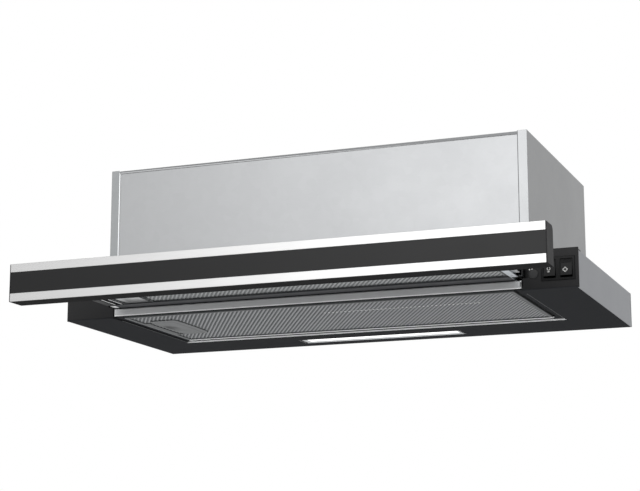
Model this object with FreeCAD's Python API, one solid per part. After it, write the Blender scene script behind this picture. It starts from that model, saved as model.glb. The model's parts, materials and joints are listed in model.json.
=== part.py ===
import FreeCAD, Part
import math
import os

# Pull out (telescopic) range hood, built into a wall cabinet.
# X to the right, Y to the back, Z up, millimetres.
# Origin: centre of the four cabinet screws, on the seat plane where the hood meets the cabinet.
# The visor is modelled pulled out.

# ---- overall sizes ----
body_width = 598.0
body_depth = 275.0
lower_height = 40.0
upper_inset = 51.0
upper_height = 133.5
front_setback = 3.0
rear_setback = 3.0
visor_travel = 103.0

# ---- stock ----
steel = 0.8
black_sheet = 1.2
wall = 2.2
touch_gap = 0.2
slide_gap = 0.4

# ---- upper body ----
flange = 10.0
fold = 12.0
side_rise = 1.0
top_band = 3.0

# ---- cabinet fixing ----
screw_inset = 29.0
screw_spacing_y = 180.0
screw_hole_r = 2.1
nut_side = 9.0
nut_height = 4.0

# ---- lower body front ----
block_width = 59.0
block_depth = 20.0
block_rise = 2.5
block_wall = 2.5
block_proud = 1.0
recess_width = 6.0
recess_depth = 12.0
recess_wall = 1.2
recess_sill = 2.2
crossbar_bottom = 2.4
crossbar_height = 8.6
crossbar_depth = 4.0
crossbar_gap = 1.4
header_gap = 0.8

# ---- underside opening and ledge ----
opening_rear = 79.0
ledge_step = 2.0
ledge_side = 9.0
ledge_rear = 16.0

# ---- filters ----
filter_clearance = 2.0
filter_front = 5.5
filter_height = 9.0
filter_lift = 0.4
filter_border = 4.0
mesh_thickness = 3.0
mesh_inset = 0.8
tongue_thickness = 1.4
tongue_width = 16.0
tongue_reach = 7.0
tongue_root = 1.0
tongue_margin = 36.0
latch_gap = 0.3
pocket_wall = 1.6
ridge_width = 2.5
ridge_inset = 1.5
ridge_margin = 2.0
lower_latch_offset = 0.75
lower_pocket = (38.0, 84.0)
lower_pocket_setback = 5.0
lower_latch_travel = 8.5
visor_latch_offset = 12.1
visor_pocket = (47.0, 60.0)
visor_pocket_setback = 10.0
visor_latch_travel = 3.0
visor_filter_gap = 0.6
visor_filter_lap = 3.6
visor_latch_lift = 1.0
visor_ridge_drop = 0.9
lower_ridge_lift = 0.6

# ---- visor bar ----
bar_rise = 3.2
bar_lift = 1.6
bar_depth = 22.0
cap_depth = 26.0
cap_thickness = 1.2
cap_corner = 6.0
cap_plug_length = 8.0
strip_height = 9.2
strip_thickness = 1.4
black_inset = 0.6

# ---- visor carrier ----
visor_plane = 12.0
visor_side = 1.0
visor_roof_drop = 7.0
visor_rail_width = 23.0
visor_rail_front = 15.0
visor_rail_height = 8.0
visor_filter_height = 6.0
visor_lip = 4.0
lip_thickness = 1.0

# ---- slides ----
channel_width = 7.0
channel_height = 14.0
channel_bottom = 16.0
channel_stock = 1.0
channel_front = 2.0
channel_rear_gap = 23.0
member_height = 6.0
member_width = 5.0
member_rear_gap = 44.0
ball_r = 1.3
ball_count = 5
cage_start = 22.0
cage_overhang = 4.0
cage_stock = 0.6
cage_gap = 0.3
cage_lip_inset = 0.6
ball_gap = 0.05

# ---- switches, in the right block ----
bezel_side = 2.6
bezel_bottom = 8.4
bezel_border_x = 3.05
bezel_border_z = 2.8
bezel_thickness = 1.0
bezel_edge = 0.5
bezel_lap = 1.0
rocker_spacing = 5.5
rocker_width = 12.3
rocker_height = 17.4
rocker_depth = 4.6
rocker_slot = 0.3
rocker_swing_gap = 1.1
paddle_proud = 1.7
paddle_dish = 0.8
paddle_taper = 1.2
paddle_heel = 3.2
paddle_heel_half = 2.4
well_depth = 12.0
switch_depth = 24.0
pivot_depth = 4.0
pivot_r = 1.5
pivot_gap = 0.05
pivot_length = 1.2
rocker_tilt = -7.0
indicator_gap = 8.0
indicator_z = 16.8
indicator_r = 4.5
indicator_brim = 0.5
indicator_proud = 1.0
indicator_round = 0.6
indicator_stem = 8.5

# ---- microswitch behind the right slide ----
microswitch_length = 16.0
microswitch_height = 10.0
plunger_r = 1.5
plunger_length = 9.0
plunger_proud = 4.0
plunger_gap = 0.05
plunger_bore = 8.0
plunger_clearance = 0.3

# ---- light ----
lamp_rear = 35.0
lens_length = 192.0
lens_width = 20.0
lens_thickness = 2.0
lens_inset = 1.4
lens_land = 2.0
lamp_border_x = 8.0
lamp_border_y = 4.5
lamp_recess_x = 5.0
lamp_recess_y = 2.0
lamp_rim = 1.4
lamp_rim_x = 5.0
lamp_rim_y = 4.0
lamp_height = 14.0
lamp_roof = 1.6
board_thickness = 1.6
board_margin = 4.0
board_width = 12.0
led_count = 12
led_side = 3.0
led_height = 0.9

# ---- blower ----
axis_y = 128.0
scroll_floor_gap = 5.0
scroll_roof_gap = 7.7
scroll_half = 52.0
scroll_wall = 2.0
scroll_lug = 8.0
lug_screw_inset = 8.0
outlet_near = 8.0
wheel_gap = 10.0
blade_depth = 8.0
inlet_lap = 7.0
wheel_half = 46.0
blade_count = 30
blade_stock = 0.9
blade_sweep = 12.0
blade_bow = 1.6
ring_stock = 1.6
disc_stock = 2.0
hub_r = 9.0
hub_length = 14.0
shaft_r = 3.0
shaft_gap = 0.04
motor_gap = 9.0
motor_length = 40.0
motor_setback = 4.0
motor_edge = 3.0
motor_boss_r = 15.0
motor_boss_lap = 0.5
motor_bore = 26.0
shaft_grip = 24.0
bracket_hub_r = 21.0
arm_width = 12.0
arm_lap = 9.0
arm_stock = 2.0
arm_turns = (40.0, 160.0, 280.0)

# ---- duct collar and flaps ----
collar_r = 59.5
collar_wall = 2.0
collar_brim = 8.5
collar_flange = 2.2
collar_height = 27.0
flap_stock = 1.2
flap_gap = 0.9
flap_split = 0.4
flap_seat_gap = 0.3
flap_ledge = 1.5
flap_ledge_reach = 2.6
flap_lap = 0.6
flap_pin_r = 1.5
knuckle_r = 2.8
knuckle_gap = 0.06
knuckle_end = 11.5
pin_fit = 0.02
flap_axis_lift = 8.5
ledge_root = 0.5

# ---- electrics ----
box_size = (62.0, 48.0, 34.0)
box_side_gap = 21.0
box_rear_gap = 27.0
lid_lap = 1.0
lid_stock = 1.6
capacitor_r = 15.0
capacitor_length = 48.0
capacitor_edge = 1.5
gland_r = 9.0
gland_tip_r = 6.5
gland_thread_r = 8.0
gland_bore_r = 4.0
gland_nut_r = 12.0
gland_seat = 4.0
gland_rise = 14.0
gland_drop = 8.0
gland_tail = 2.0

# ---- fasteners ----
head_r = 3.2
head_height = 1.6
rear_screw_shares = (0.15, 0.5, 0.85)

# ---- worked out from the sizes above ----
half_width = body_width / 2
half_upper = half_width - upper_inset
half_slot = half_width - block_width
screw_x = half_width - screw_inset
front_y = -body_depth / 2
rear_y = body_depth / 2
under_z = -lower_height
seat_z = 0.0
top_z = upper_height
sheet_under_top = top_z - steel
upper_front_y = front_y + front_setback
upper_rear_y = rear_y - rear_setback
cap_rear_y = front_y - visor_travel - slide_gap
bar_front_y = cap_rear_y - cap_depth
bar_rear_y = bar_front_y + bar_depth
bar_z = under_z + bar_lift
bar_height = lower_height - bar_lift + bar_rise
visor_roof_z = seat_z - visor_roof_drop
member_rear_y = rear_y - member_rear_gap - visor_travel
cage_front_y = front_y + cage_start
cage_rear_y = member_rear_y + cage_overhang
opening_depth = body_depth - opening_rear
ledge_top = under_z + ledge_step + black_sheet
filter_half = half_slot - ledge_side - filter_clearance
filter_rear = opening_depth - ledge_rear - filter_clearance
filter_z = under_z + filter_lift
side_top_z = top_z + side_rise
crossbar_z = under_z + crossbar_bottom
crossbar_top = crossbar_z + crossbar_height
channel_outer = half_slot - touch_gap
channel_inner = channel_outer - channel_width
web_outer = channel_inner - slide_gap
web_inner = web_outer - visor_side
slide_z = under_z + channel_bottom + channel_height / 2
rocker_pitch = rocker_width + rocker_spacing
well_height = rocker_height + 2 * rocker_swing_gap
bezel_right = half_width - bezel_side
bezel_left = bezel_right - rocker_pitch - rocker_width - 2 * bezel_border_x
bezel_z0 = under_z + bezel_bottom
bezel_z1 = bezel_z0 + well_height + 2 * bezel_border_z
rocker_z = (bezel_z0 + bezel_z1) / 2
indicator_x = bezel_left - indicator_gap
lamp_y = rear_y - lamp_rear
lamp_length = lens_length + 2 * lamp_border_x
lamp_width = lens_width + 2 * lamp_border_y
lower_filter_y0 = front_y + filter_front
lower_filter_y1 = front_y + filter_rear
visor_filter_y0 = bar_rear_y + visor_filter_gap
visor_filter_y1 = front_y - visor_rail_front + visor_filter_lap
lower_latch_y = (lower_filter_y0 + lower_filter_y1) / 2 + lower_latch_offset
visor_latch_y = (visor_filter_y0 + visor_filter_y1) / 2 + visor_latch_offset

lower_filter = {
    "half": filter_half, "y0": lower_filter_y0, "y1": lower_filter_y1,
    "z0": filter_z, "height": filter_height, "latch_y": lower_latch_y,
    "pocket_x": lower_pocket[0], "pocket_y": lower_pocket[1],
    "setback": lower_pocket_setback, "travel": lower_latch_travel,
    "latch_lift": ledge_top + latch_gap - filter_z, "ridge_lift": lower_ridge_lift,
    "reach": tongue_reach,
    "tongue_y": (lower_filter_y0 + tongue_margin, lower_filter_y1 - tongue_margin),
}
visor_filter = {
    "half": web_inner - slide_gap, "y0": visor_filter_y0, "y1": visor_filter_y1,
    "z0": under_z + visor_plane + lip_thickness + latch_gap, "height": visor_filter_height,
    "latch_y": visor_latch_y,
    "pocket_x": visor_pocket[0], "pocket_y": visor_pocket[1],
    "setback": visor_pocket_setback, "travel": visor_latch_travel,
    "latch_lift": visor_latch_lift, "ridge_lift": -visor_ridge_drop,
    "reach": slide_gap + visor_side,
    "tongue_y": (visor_latch_y,),
}


def box(x0, x1, y0, y1, z0, z1):
    return Part.makeBox(x1 - x0, y1 - y0, z1 - z0, FreeCAD.Vector(x0, y0, z0))


def rod(start, length, radius, direction=(0, 0, 1)):
    return Part.makeCylinder(radius, length, FreeCAD.Vector(*start), FreeCAD.Vector(*direction))


def tube(start, length, radius, bore, direction=(0, 0, 1)):
    return rod(start, length, radius, direction).cut(rod(start, length, bore, direction))


def prism_x(points, x0, x1):
    """Closed outline of (y, z) points, run from x0 to x1."""
    corners = [FreeCAD.Vector(x0, y, z) for y, z in points]
    outline = Part.makePolygon(corners + corners[:1])
    return Part.Face(outline).extrude(FreeCAD.Vector(x1 - x0, 0, 0))


def fuse(shapes):
    whole = shapes[0].fuse(shapes[1:]) if len(shapes) > 1 else shapes[0]
    return whole.removeSplitter()


def mirrored(shape):
    return shape.mirror(FreeCAD.Vector(0, 0, 0), FreeCAD.Vector(1, 0, 0))


def save(node, shapes):
    solids = [solid for shape in shapes for solid in shape.Solids]
    for solid in solids:
        if not solid.isValid():
            print("not valid:", node)
    whole = solids[0] if len(solids) == 1 else Part.makeCompound(solids)
    whole.exportStep("parts/%s.step" % node)


def save_pair(left_node, right_node, shapes):
    """Shapes made for the right side, kept there and mirrored to the left."""
    save(right_node, shapes)
    save(left_node, [mirrored(shape) for shape in shapes])


def save_both(node, shapes):
    """Shapes made for the right side, in one node with their mirror images."""
    save(node, shapes + [mirrored(shape) for shape in shapes])


# ---------------------------------------------------------------- housing

def upper_side_panel():
    wall_plate = box(half_upper - steel, half_upper, upper_front_y, upper_rear_y, seat_z, side_top_z)
    x0 = half_upper - flange
    front = box(x0, half_upper, upper_front_y, upper_front_y + steel, seat_z, side_top_z)
    rear = box(x0, half_upper, upper_rear_y - steel, upper_rear_y, seat_z, side_top_z)
    foot_y0 = front_y + block_depth
    foot_y1 = upper_rear_y - 2 * steel
    foot = box(half_slot, half_upper, foot_y0, foot_y1, seat_z - steel, seat_z)
    return fuse([wall_plate, front, rear, foot])


def upper_front_panel():
    back = upper_front_y + steel
    half = half_upper - steel
    plate = box(-half, half, back, back + steel, seat_z + steel, sheet_under_top)
    foot = box(-half_slot, half_slot, back, back + fold, seat_z, seat_z + steel)
    rise = box(-half_slot, half_slot, back, back + steel, seat_z, seat_z + steel)
    return fuse([plate, foot, rise])


def top_panel():
    half = half_upper - steel
    plate = box(-half, half, upper_front_y + steel, upper_rear_y - steel, sheet_under_top, top_z)
    band_half = half_upper - flange - touch_gap
    band_z = top_z - top_band
    front = box(-band_half, band_half, upper_front_y, upper_front_y + steel, band_z, top_z)
    rear = box(-band_half, band_half, upper_rear_y - steel, upper_rear_y, band_z, top_z)
    side_y0 = upper_front_y + 2 * steel
    side_y1 = upper_rear_y - 2 * steel
    side = box(half - steel, half, side_y0, side_y1, top_z - fold, top_z)
    whole = fuse([plate, front, rear, side, mirrored(side)])
    duct_half = scroll_half - scroll_wall
    duct = box(-duct_half, duct_half, outlet_y0 + scroll_wall, outlet_y1 - scroll_wall,
               sheet_under_top, top_z)
    gland = rod((gland_x, gland_y, sheet_under_top), steel, gland_thread_r)
    return whole.cut([duct, gland])


def rear_panel():
    inner_y = upper_rear_y - 2 * steel
    half = half_upper - steel
    upper = box(-half, half, inner_y, inner_y + steel, seat_z - steel, sheet_under_top)
    shelf_half = half_width - steel
    shelf = box(-shelf_half, shelf_half, inner_y, rear_y, seat_z - steel, seat_z)
    lower = box(-shelf_half, shelf_half, rear_y - steel, rear_y, under_z, seat_z)
    return fuse([upper, shelf, lower])


def wing():
    side = box(half_width - steel, half_width, front_y + block_wall, rear_y, under_z, seat_z)
    plate_y0 = front_y + block_depth
    plate_y1 = upper_rear_y - 2 * steel
    plate = box(half_upper + touch_gap, half_width, plate_y0, plate_y1, seat_z - steel, seat_z)
    holes = [rod((screw_x, y, seat_z - steel), steel, screw_hole_r)
             for y in (-screw_spacing_y / 2, screw_spacing_y / 2)]
    return fuse([side, plate]).cut(holes)


def cabinet_nuts():
    nuts = []
    for x in (-screw_x, screw_x):
        for y in (-screw_spacing_y / 2, screw_spacing_y / 2):
            half = nut_side / 2
            low = seat_z - steel - nut_height
            block = box(x - half, x + half, y - half, y + half, low, low + nut_height)
            nuts.append(block.cut(rod((x, y, low), nut_height, screw_hole_r)))
    return nuts


def inner_wall():
    """Wall beside the visor slot, standing on the ledge and carrying the slide channel."""
    y0 = front_y + block_depth + touch_gap
    y1 = rear_y - fold
    x0 = channel_outer
    web = box(x0, x0 + steel, y0, y1, ledge_top, seat_z - steel)
    foot = box(x0, x0 + fold, y0, y1, ledge_top, ledge_top + steel)
    head = box(x0, x0 + fold, y0, y1, seat_z - 2 * steel, seat_z - steel)
    return fuse([web, foot, head])


def slot_header():
    y0 = front_y + channel_front
    header_z = visor_roof_z + steel + header_gap
    plate = box(-half_slot, half_slot, y0, y0 + steel, header_z, seat_z)
    roof = box(-half_slot, half_slot, y0, front_y + block_depth, seat_z - steel, seat_z)
    return fuse([plate, roof])


def underside_panel():
    half = half_width - steel
    sheet_top = under_z + black_sheet
    plate = box(-half, half, front_y, rear_y - steel, under_z, sheet_top)
    mouth = box(-half_slot, half_slot, front_y, front_y + opening_depth, under_z, sheet_top)
    lamp_half = lamp_length / 2
    slot = box(-lamp_half, lamp_half, lamp_y - lamp_width / 2, lamp_y + lamp_width / 2,
               under_z, sheet_top)
    outer = half_slot + fold
    rear_edge = front_y + opening_depth
    rise = box(-outer, outer, front_y + block_depth, rear_edge + black_sheet, sheet_top, ledge_top)
    rise = rise.cut(box(-half_slot, half_slot, front_y, rear_edge, sheet_top, ledge_top))
    ledge = box(-half_slot, half_slot, front_y + filter_front, rear_edge,
                ledge_top - black_sheet, ledge_top)
    inner = half_slot - ledge_side
    ledge = ledge.cut(box(-inner, inner, front_y, rear_edge - ledge_rear, under_z, seat_z))
    return fuse([plate.cut([mouth, slot]), rise, ledge])


def front_block(with_switches):
    """Moulded block that laps over the wing's front edge, with a recess beside the visor's slide."""
    x0, x1 = half_slot, half_width - steel
    y0, y1 = front_y, front_y + block_depth
    z0, z1 = under_z + black_sheet, seat_z + block_rise
    body = box(x0, x1, y0, y1, z0, z1)
    face_lap = box(x1, half_width + block_proud, y0, y0 + block_wall, under_z, z1)
    shell = fuse([body, face_lap])
    hollow = box(x0 + block_wall, x1 - block_wall, y0 + block_wall, y1,
                 z0 + block_wall, seat_z - block_wall)
    step = box(x0, half_upper + touch_gap, y0, y1, seat_z, z1)
    recess_x1, recess_y1 = x0 + recess_width, y0 + recess_depth
    recess_z0, recess_z1 = crossbar_top + recess_sill, seat_z - block_wall
    recess = box(x0, recess_x1, y0, recess_y1, recess_z0, recess_z1)
    lining = box(x0, recess_x1 + recess_wall, y0, recess_y1 + recess_wall, recess_z0 - recess_wall, recess_z1)
    shell = fuse([shell.cut([hollow, step]), lining]).cut(recess)
    if not with_switches:
        return shell
    window = box(bezel_left + bezel_lap, bezel_right - bezel_lap, y0, y0 + block_wall,
                 bezel_z0 + bezel_lap, bezel_z1 - bezel_lap)
    dot = rod((indicator_x, y0, under_z + indicator_z), block_wall, indicator_r + touch_gap, (0, 1, 0))
    return shell.cut([window, dot])


def crossbar():
    """Folded bar below the visor slot, on an inner strip that reaches into the blocks' faces."""
    half = half_slot - crossbar_gap
    reach = half_slot - touch_gap
    z0, z1 = crossbar_z, crossbar_top
    y0 = front_y
    face = box(-half, half, y0, y0 + steel, z0, z1)
    lip = box(-half, half, y0, y0 + crossbar_depth, z0, z0 + steel)
    head = box(-half, half, y0, y0 + crossbar_depth, z1 - steel, z1)
    strip = box(-reach, reach, y0 + steel, y0 + 2 * steel, z0 + steel, z1 - steel)
    return fuse([face, lip, head, strip])


# ---------------------------------------------------------------- filters

def filter_frame(f):
    """Rim with tongues at the right, a latch pocket at the left and a slot for the latch."""
    half, y0, y1, z0 = f["half"], f["y0"], f["y1"], f["z0"]
    z1 = z0 + f["height"]
    rim = box(-half, half, y0, y1, z0, z1)
    rim = rim.cut(box(-half + filter_border, half - filter_border,
                      y0 + filter_border, y1 - filter_border, z0, z1))
    x0 = -half + filter_border
    x1 = x0 + f["pocket_x"]
    pad_y0 = f["latch_y"] - f["pocket_y"] / 2
    pad_y1 = f["latch_y"] + f["pocket_y"] / 2
    pad = box(x0, x1, pad_y0, pad_y1, z0, z1)
    low, high = latch_span(f)
    cup = box(x0 + f["setback"], x1 - pocket_wall, pad_y0 + pocket_wall, pad_y1 - pocket_wall,
              z0, high + touch_gap)
    half_tongue = tongue_width / 2
    half_gap = half_tongue + touch_gap
    slot = box(-half, x0 + f["setback"], f["latch_y"] - half_gap, f["latch_y"] + half_gap,
               low - touch_gap, high + touch_gap)
    tongues = [box(half - tongue_root, half + f["reach"], y - half_tongue, y + half_tongue, low, high)
               for y in f["tongue_y"]]
    return fuse([rim, pad] + tongues).cut([cup, slot])


def latch_span(f):
    low = f["z0"] + f["latch_lift"]
    return low, low + tongue_thickness


def filter_latch(f):
    """Slider in the pocket, with its tongue out to the left and a thumb ridge below."""
    low, high = latch_span(f)
    x0 = -f["half"] + filter_border + f["setback"] + touch_gap
    x1 = -f["half"] + filter_border + f["pocket_x"] - pocket_wall - f["travel"] - touch_gap
    half_y = f["pocket_y"] / 2 - pocket_wall - touch_gap
    y = f["latch_y"]
    plate = box(x0, x1, y - half_y, y + half_y, low, high)
    tongue = box(-f["half"] - f["reach"], x0, y - tongue_width / 2, y + tongue_width / 2, low, high)
    ridge_x1 = x1 - ridge_inset
    ridge_half = half_y - ridge_margin
    ridge = box(ridge_x1 - ridge_width, ridge_x1, y - ridge_half, y + ridge_half,
                f["z0"] + f["ridge_lift"], low)
    return fuse([plate, tongue, ridge])


def filter_mesh(f):
    """Pad of expanded mesh layers inside the rim, notched around the latch pocket."""
    low = f["z0"] + mesh_inset
    half = f["half"] - filter_border
    pad = box(-half, half, f["y0"] + filter_border, f["y1"] - filter_border, low, low + mesh_thickness)
    notch = box(-half, -half + f["pocket_x"], f["latch_y"] - f["pocket_y"] / 2,
                f["latch_y"] + f["pocket_y"] / 2, low, low + mesh_thickness)
    return pad.cut(notch)


# ---------------------------------------------------------------- visor

def bar_core():
    """Hollow plastic extrusion behind the front strips, open at its ends."""
    half = half_width - cap_thickness
    y0 = bar_front_y + strip_thickness
    z1 = bar_z + bar_height
    outer = box(-half, half, y0, bar_rear_y, bar_z, z1)
    inner = box(-half, half, y0 + wall, bar_rear_y - wall, bar_z + wall, z1 - wall)
    lip_z = under_z + visor_plane
    lip = box(-web_inner, web_inner, bar_rear_y, bar_rear_y + visor_lip, lip_z, lip_z + lip_thickness)
    return fuse([outer.cut(inner), lip])


def bar_strip(z0, height, inset):
    half = half_width - cap_thickness
    y0 = bar_front_y + inset
    return box(-half, half, y0, bar_front_y + strip_thickness, z0, z0 + height)


def bar_cap():
    x0, x1 = half_width - cap_thickness, half_width
    z1 = bar_z + bar_height
    plate = box(x0, x1, bar_front_y, cap_rear_y, bar_z, z1)
    corner = [edge for edge in plate.Edges
              if abs(edge.CenterOfMass.y - cap_rear_y) < 0.01
              and abs(edge.CenterOfMass.z - z1) < 0.01]
    plate = plate.makeFillet(cap_corner, corner)
    inset = wall + touch_gap
    plug = box(x0 - cap_plug_length, x0, bar_front_y + strip_thickness + inset, bar_rear_y - inset,
               bar_z + inset, z1 - inset)
    return fuse([plate, plug])


def visor_side_member():
    y0 = bar_rear_y
    y1 = front_y + fold
    z0 = under_z + visor_plane
    z1 = visor_roof_z
    flange_out = half_slot - slide_gap
    rail_front = front_y - visor_rail_front
    web = box(web_inner, web_outer, y0, y1, z0, z1)
    foot = box(web_inner, flange_out, y0, rail_front, z0, z0 + visor_side)
    head = box(web_inner - fold, web_outer, y0, y1, z1 - visor_side, z1)
    low, high = latch_span(visor_filter)
    half = tongue_width / 2 + touch_gap
    slot = box(web_inner, web_outer, visor_filter["latch_y"] - half, visor_filter["latch_y"] + half,
               low - touch_gap, high + touch_gap)
    return fuse([web, foot, head]).cut(slot)


def visor_rear_rail():
    """Plastic cross member that ends the visor behind its filter."""
    y0 = front_y - visor_rail_front
    y1 = y0 + visor_rail_width
    z0 = under_z + visor_plane
    lip = box(-web_inner, web_inner, y0, y1, z0, z0 + lip_thickness)
    bar = box(-web_inner, web_inner, y0 + visor_lip, y1, z0, z0 + visor_rail_height)
    return fuse([lip, bar])


def visor_top_sheet():
    return box(-web_outer, web_outer, bar_rear_y, front_y + fold, visor_roof_z, visor_roof_z + steel)


# ---------------------------------------------------------------- slides

def slide_channel():
    y0 = front_y + channel_front
    y1 = rear_y - channel_rear_gap
    z0 = under_z + channel_bottom
    z1 = z0 + channel_height
    outer = box(channel_inner, channel_outer, y0, y1, z0, z1)
    hollow = box(channel_inner, channel_outer - channel_stock, y0, y1,
                 z0 + channel_stock, z1 - channel_stock)
    return outer.cut(hollow)


def slide_member():
    y0 = bar_rear_y
    y1 = member_rear_y
    z0 = slide_z - member_height / 2
    z1 = slide_z + member_height / 2
    outer = box(web_outer, web_outer + member_width, y0, y1, z0, z1)
    hollow = box(web_outer + channel_stock, web_outer + member_width, y0, y1,
                 z0 + channel_stock, z1 - channel_stock)
    return outer.cut(hollow)


def ball_cage():
    """Strip cage with two rows of balls between channel and member."""
    y0, y1 = cage_front_y, cage_rear_y
    ball_pitch = (y1 - y0) / ball_count
    web_x1 = channel_outer - channel_stock - cage_gap
    web_x0 = web_x1 - cage_stock
    row_z = member_height / 2 + (channel_height / 2 - channel_stock - member_height / 2) / 2
    lip_x0 = channel_inner + cage_lip_inset
    half_stock = cage_stock / 2
    ball_x = (lip_x0 + web_x0) / 2
    web = box(web_x0, web_x1, y0, y1, slide_z - row_z - half_stock, slide_z + row_z + half_stock)
    lips = [box(lip_x0, web_x1, y0, y1,
                slide_z + side * row_z - half_stock, slide_z + side * row_z + half_stock)
            for side in (-1, 1)]
    cage = fuse([web] + lips)
    balls = []
    for side in (-1, 1):
        for i in range(ball_count):
            centre = FreeCAD.Vector(ball_x, y0 + ball_pitch * (i + 0.5), slide_z + side * row_z)
            hole = rod((centre.x, centre.y, centre.z - ball_r), 2 * ball_r, ball_r + ball_gap)
            cage = cage.cut(hole)
            balls.append(Part.makeSphere(ball_r, centre))
    return [cage] + balls


# ---------------------------------------------------------------- switches

def rocker_centres():
    middle = (bezel_left + bezel_right) / 2
    return [middle - rocker_pitch / 2, middle + rocker_pitch / 2]


def well_cuts(y0, depth):
    half_x = rocker_width / 2 + rocker_slot
    half_z = well_height / 2
    return [box(x - half_x, x + half_x, y0, y0 + depth, rocker_z - half_z, rocker_z + half_z)
            for x in rocker_centres()]


def switch_bezel():
    plate = box(bezel_left, bezel_right, front_y - bezel_thickness, front_y, bezel_z0, bezel_z1)
    front = [edge for edge in plate.Edges
             if abs(edge.CenterOfMass.y - front_y + bezel_thickness) < 0.01]
    plate = plate.makeChamfer(bezel_edge, front)
    return plate.cut(well_cuts(front_y - bezel_thickness, bezel_thickness))


def switch_body():
    gap = touch_gap + bezel_lap
    body = box(bezel_left + gap, bezel_right - gap, front_y, front_y + switch_depth,
               bezel_z0 + gap, bezel_z1 - gap)
    body = body.cut(well_cuts(front_y, well_depth))
    half = rocker_width / 2 + pivot_length + touch_gap
    sockets = [rod((x - half, front_y + pivot_depth, rocker_z), 2 * half,
                   pivot_r + pivot_gap, (1, 0, 0)) for x in rocker_centres()]
    return body.cut(sockets)


def rocker(x):
    """Shallow concave paddle on two stub pivots, tipped so that its head is pressed in."""
    half_x = rocker_width / 2
    half_z = rocker_height / 2
    lip_y = front_y - paddle_proud
    skirt_y = lip_y + rocker_depth
    skirt_z = half_z - paddle_taper
    pivot_y = front_y + pivot_depth
    heel_y = pivot_y + paddle_heel
    upper_half = [(lip_y + paddle_dish, 0.0), (lip_y, half_z), (skirt_y, skirt_z), (heel_y, paddle_heel_half)]
    lower_half = [(heel_y, -paddle_heel_half), (skirt_y, -skirt_z), (lip_y, -half_z)]
    outline = [(y, rocker_z + z) for y, z in upper_half + lower_half]
    paddle = prism_x(outline, x - half_x, x + half_x)
    reach = half_x + pivot_length
    pivots = rod((x - reach, pivot_y, rocker_z), 2 * reach, pivot_r, (1, 0, 0))
    whole = fuse([paddle, pivots])
    whole.rotate(FreeCAD.Vector(x, pivot_y, rocker_z), FreeCAD.Vector(1, 0, 0), rocker_tilt)
    return whole


def indicator():
    z = under_z + indicator_z
    cap_y = front_y - indicator_proud
    stem = rod((indicator_x, front_y, z), indicator_stem, indicator_r, (0, 1, 0))
    cap = rod((indicator_x, cap_y, z), indicator_proud, indicator_r + indicator_brim, (0, 1, 0))
    rim = [edge for edge in cap.Edges if abs(edge.CenterOfMass.y - cap_y) < 0.01]
    return fuse([stem, cap.makeFillet(indicator_round, rim[:1])])


def visor_switch_place():
    x = channel_inner + touch_gap + member_width / 2
    tip_y = member_rear_y + visor_travel + plunger_clearance
    return x, tip_y


def visor_switch():
    x, tip_y = visor_switch_place()
    y0 = tip_y + plunger_proud
    x1 = channel_outer - channel_stock
    half_z = microswitch_height / 2
    body = box(channel_inner, x1, y0, y0 + microswitch_length, slide_z - half_z, slide_z + half_z)
    return body.cut(rod((x, y0, slide_z), plunger_bore, plunger_r + plunger_gap, (0, 1, 0)))


def visor_switch_plunger():
    x, tip_y = visor_switch_place()
    return rod((x, tip_y, slide_z), plunger_length, plunger_r, (0, 1, 0))


# ---------------------------------------------------------------- light

def lamp_box(half_x, half_y, z0, z1):
    return box(-half_x, half_x, lamp_y - half_y, lamp_y + half_y, z0, z1)


def lamp_housing():
    half_x = lamp_length / 2 - touch_gap
    half_y = lamp_width / 2 - touch_gap
    lens_x, lens_y = lens_length / 2, lens_width / 2
    z1 = under_z + lamp_height
    rim_z = under_z + black_sheet
    lens_z = under_z + lens_inset
    outer = lamp_box(half_x, half_y, under_z, z1)
    rim = lamp_box(half_x + lamp_rim_x, half_y + lamp_rim_y, rim_z, rim_z + lamp_rim)
    recess = lamp_box(lens_x + lamp_recess_x, lens_y + lamp_recess_y, under_z, lens_z)
    lens_hole = lamp_box(lens_x, lens_y, under_z, lens_z + lens_thickness)
    cavity = lamp_box(lens_x - lens_land, lens_y - lens_land, under_z, z1 - lamp_roof)
    return fuse([outer, rim]).cut([recess, lens_hole, cavity])


def lamp_lens():
    z0 = under_z + lens_inset
    return lamp_box(lens_length / 2, lens_width / 2, z0, z0 + lens_thickness)


def lamp_board():
    z1 = under_z + lamp_height - lamp_roof
    chip_z = z1 - board_thickness
    half_x = lens_length / 2 - board_margin
    half_led = led_side / 2
    board = lamp_box(half_x, board_width / 2, chip_z, z1)
    pitch = 2 * half_x / led_count
    chips = []
    for i in range(led_count):
        x = -half_x + pitch * (i + 0.5)
        chips.append(box(x - half_led, x + half_led, lamp_y - half_led, lamp_y + half_led,
                         chip_z - led_height, chip_z))
    return fuse([board] + chips)


# ---------------------------------------------------------------- blower

scroll_r = (sheet_under_top - scroll_roof_gap - seat_z - scroll_floor_gap) / 2
wheel_r = scroll_r - wheel_gap
wheel_inner_r = wheel_r - blade_depth
inlet_r = wheel_r - inlet_lap
motor_r = wheel_inner_r - motor_gap
arm_reach = inlet_r + arm_lap
motor_x0 = motor_setback - scroll_half
blower_y = front_y + axis_y
blower_z = seat_z + scroll_floor_gap + scroll_r
outlet_y0 = blower_y + outlet_near
outlet_y1 = blower_y + scroll_r
collar_y = (outlet_y0 + outlet_y1) / 2
box_x1 = half_upper - box_side_gap
box_x0 = box_x1 - box_size[0]
box_y1 = rear_y - box_rear_gap
box_y0 = box_y1 - box_size[1]
gland_x = (box_x0 + box_x1) / 2
gland_y = (box_y0 + box_y1) / 2


def scroll_form(half_x, inset):
    """Drum round the wheel with a straight outlet up to the top panel."""
    drum = rod((-half_x, blower_y, blower_z), 2 * half_x, scroll_r - inset, (1, 0, 0))
    throat = box(-half_x, half_x, outlet_y0 + inset, outlet_y1 - inset,
                 blower_z, sheet_under_top)
    return fuse([drum, throat])


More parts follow.
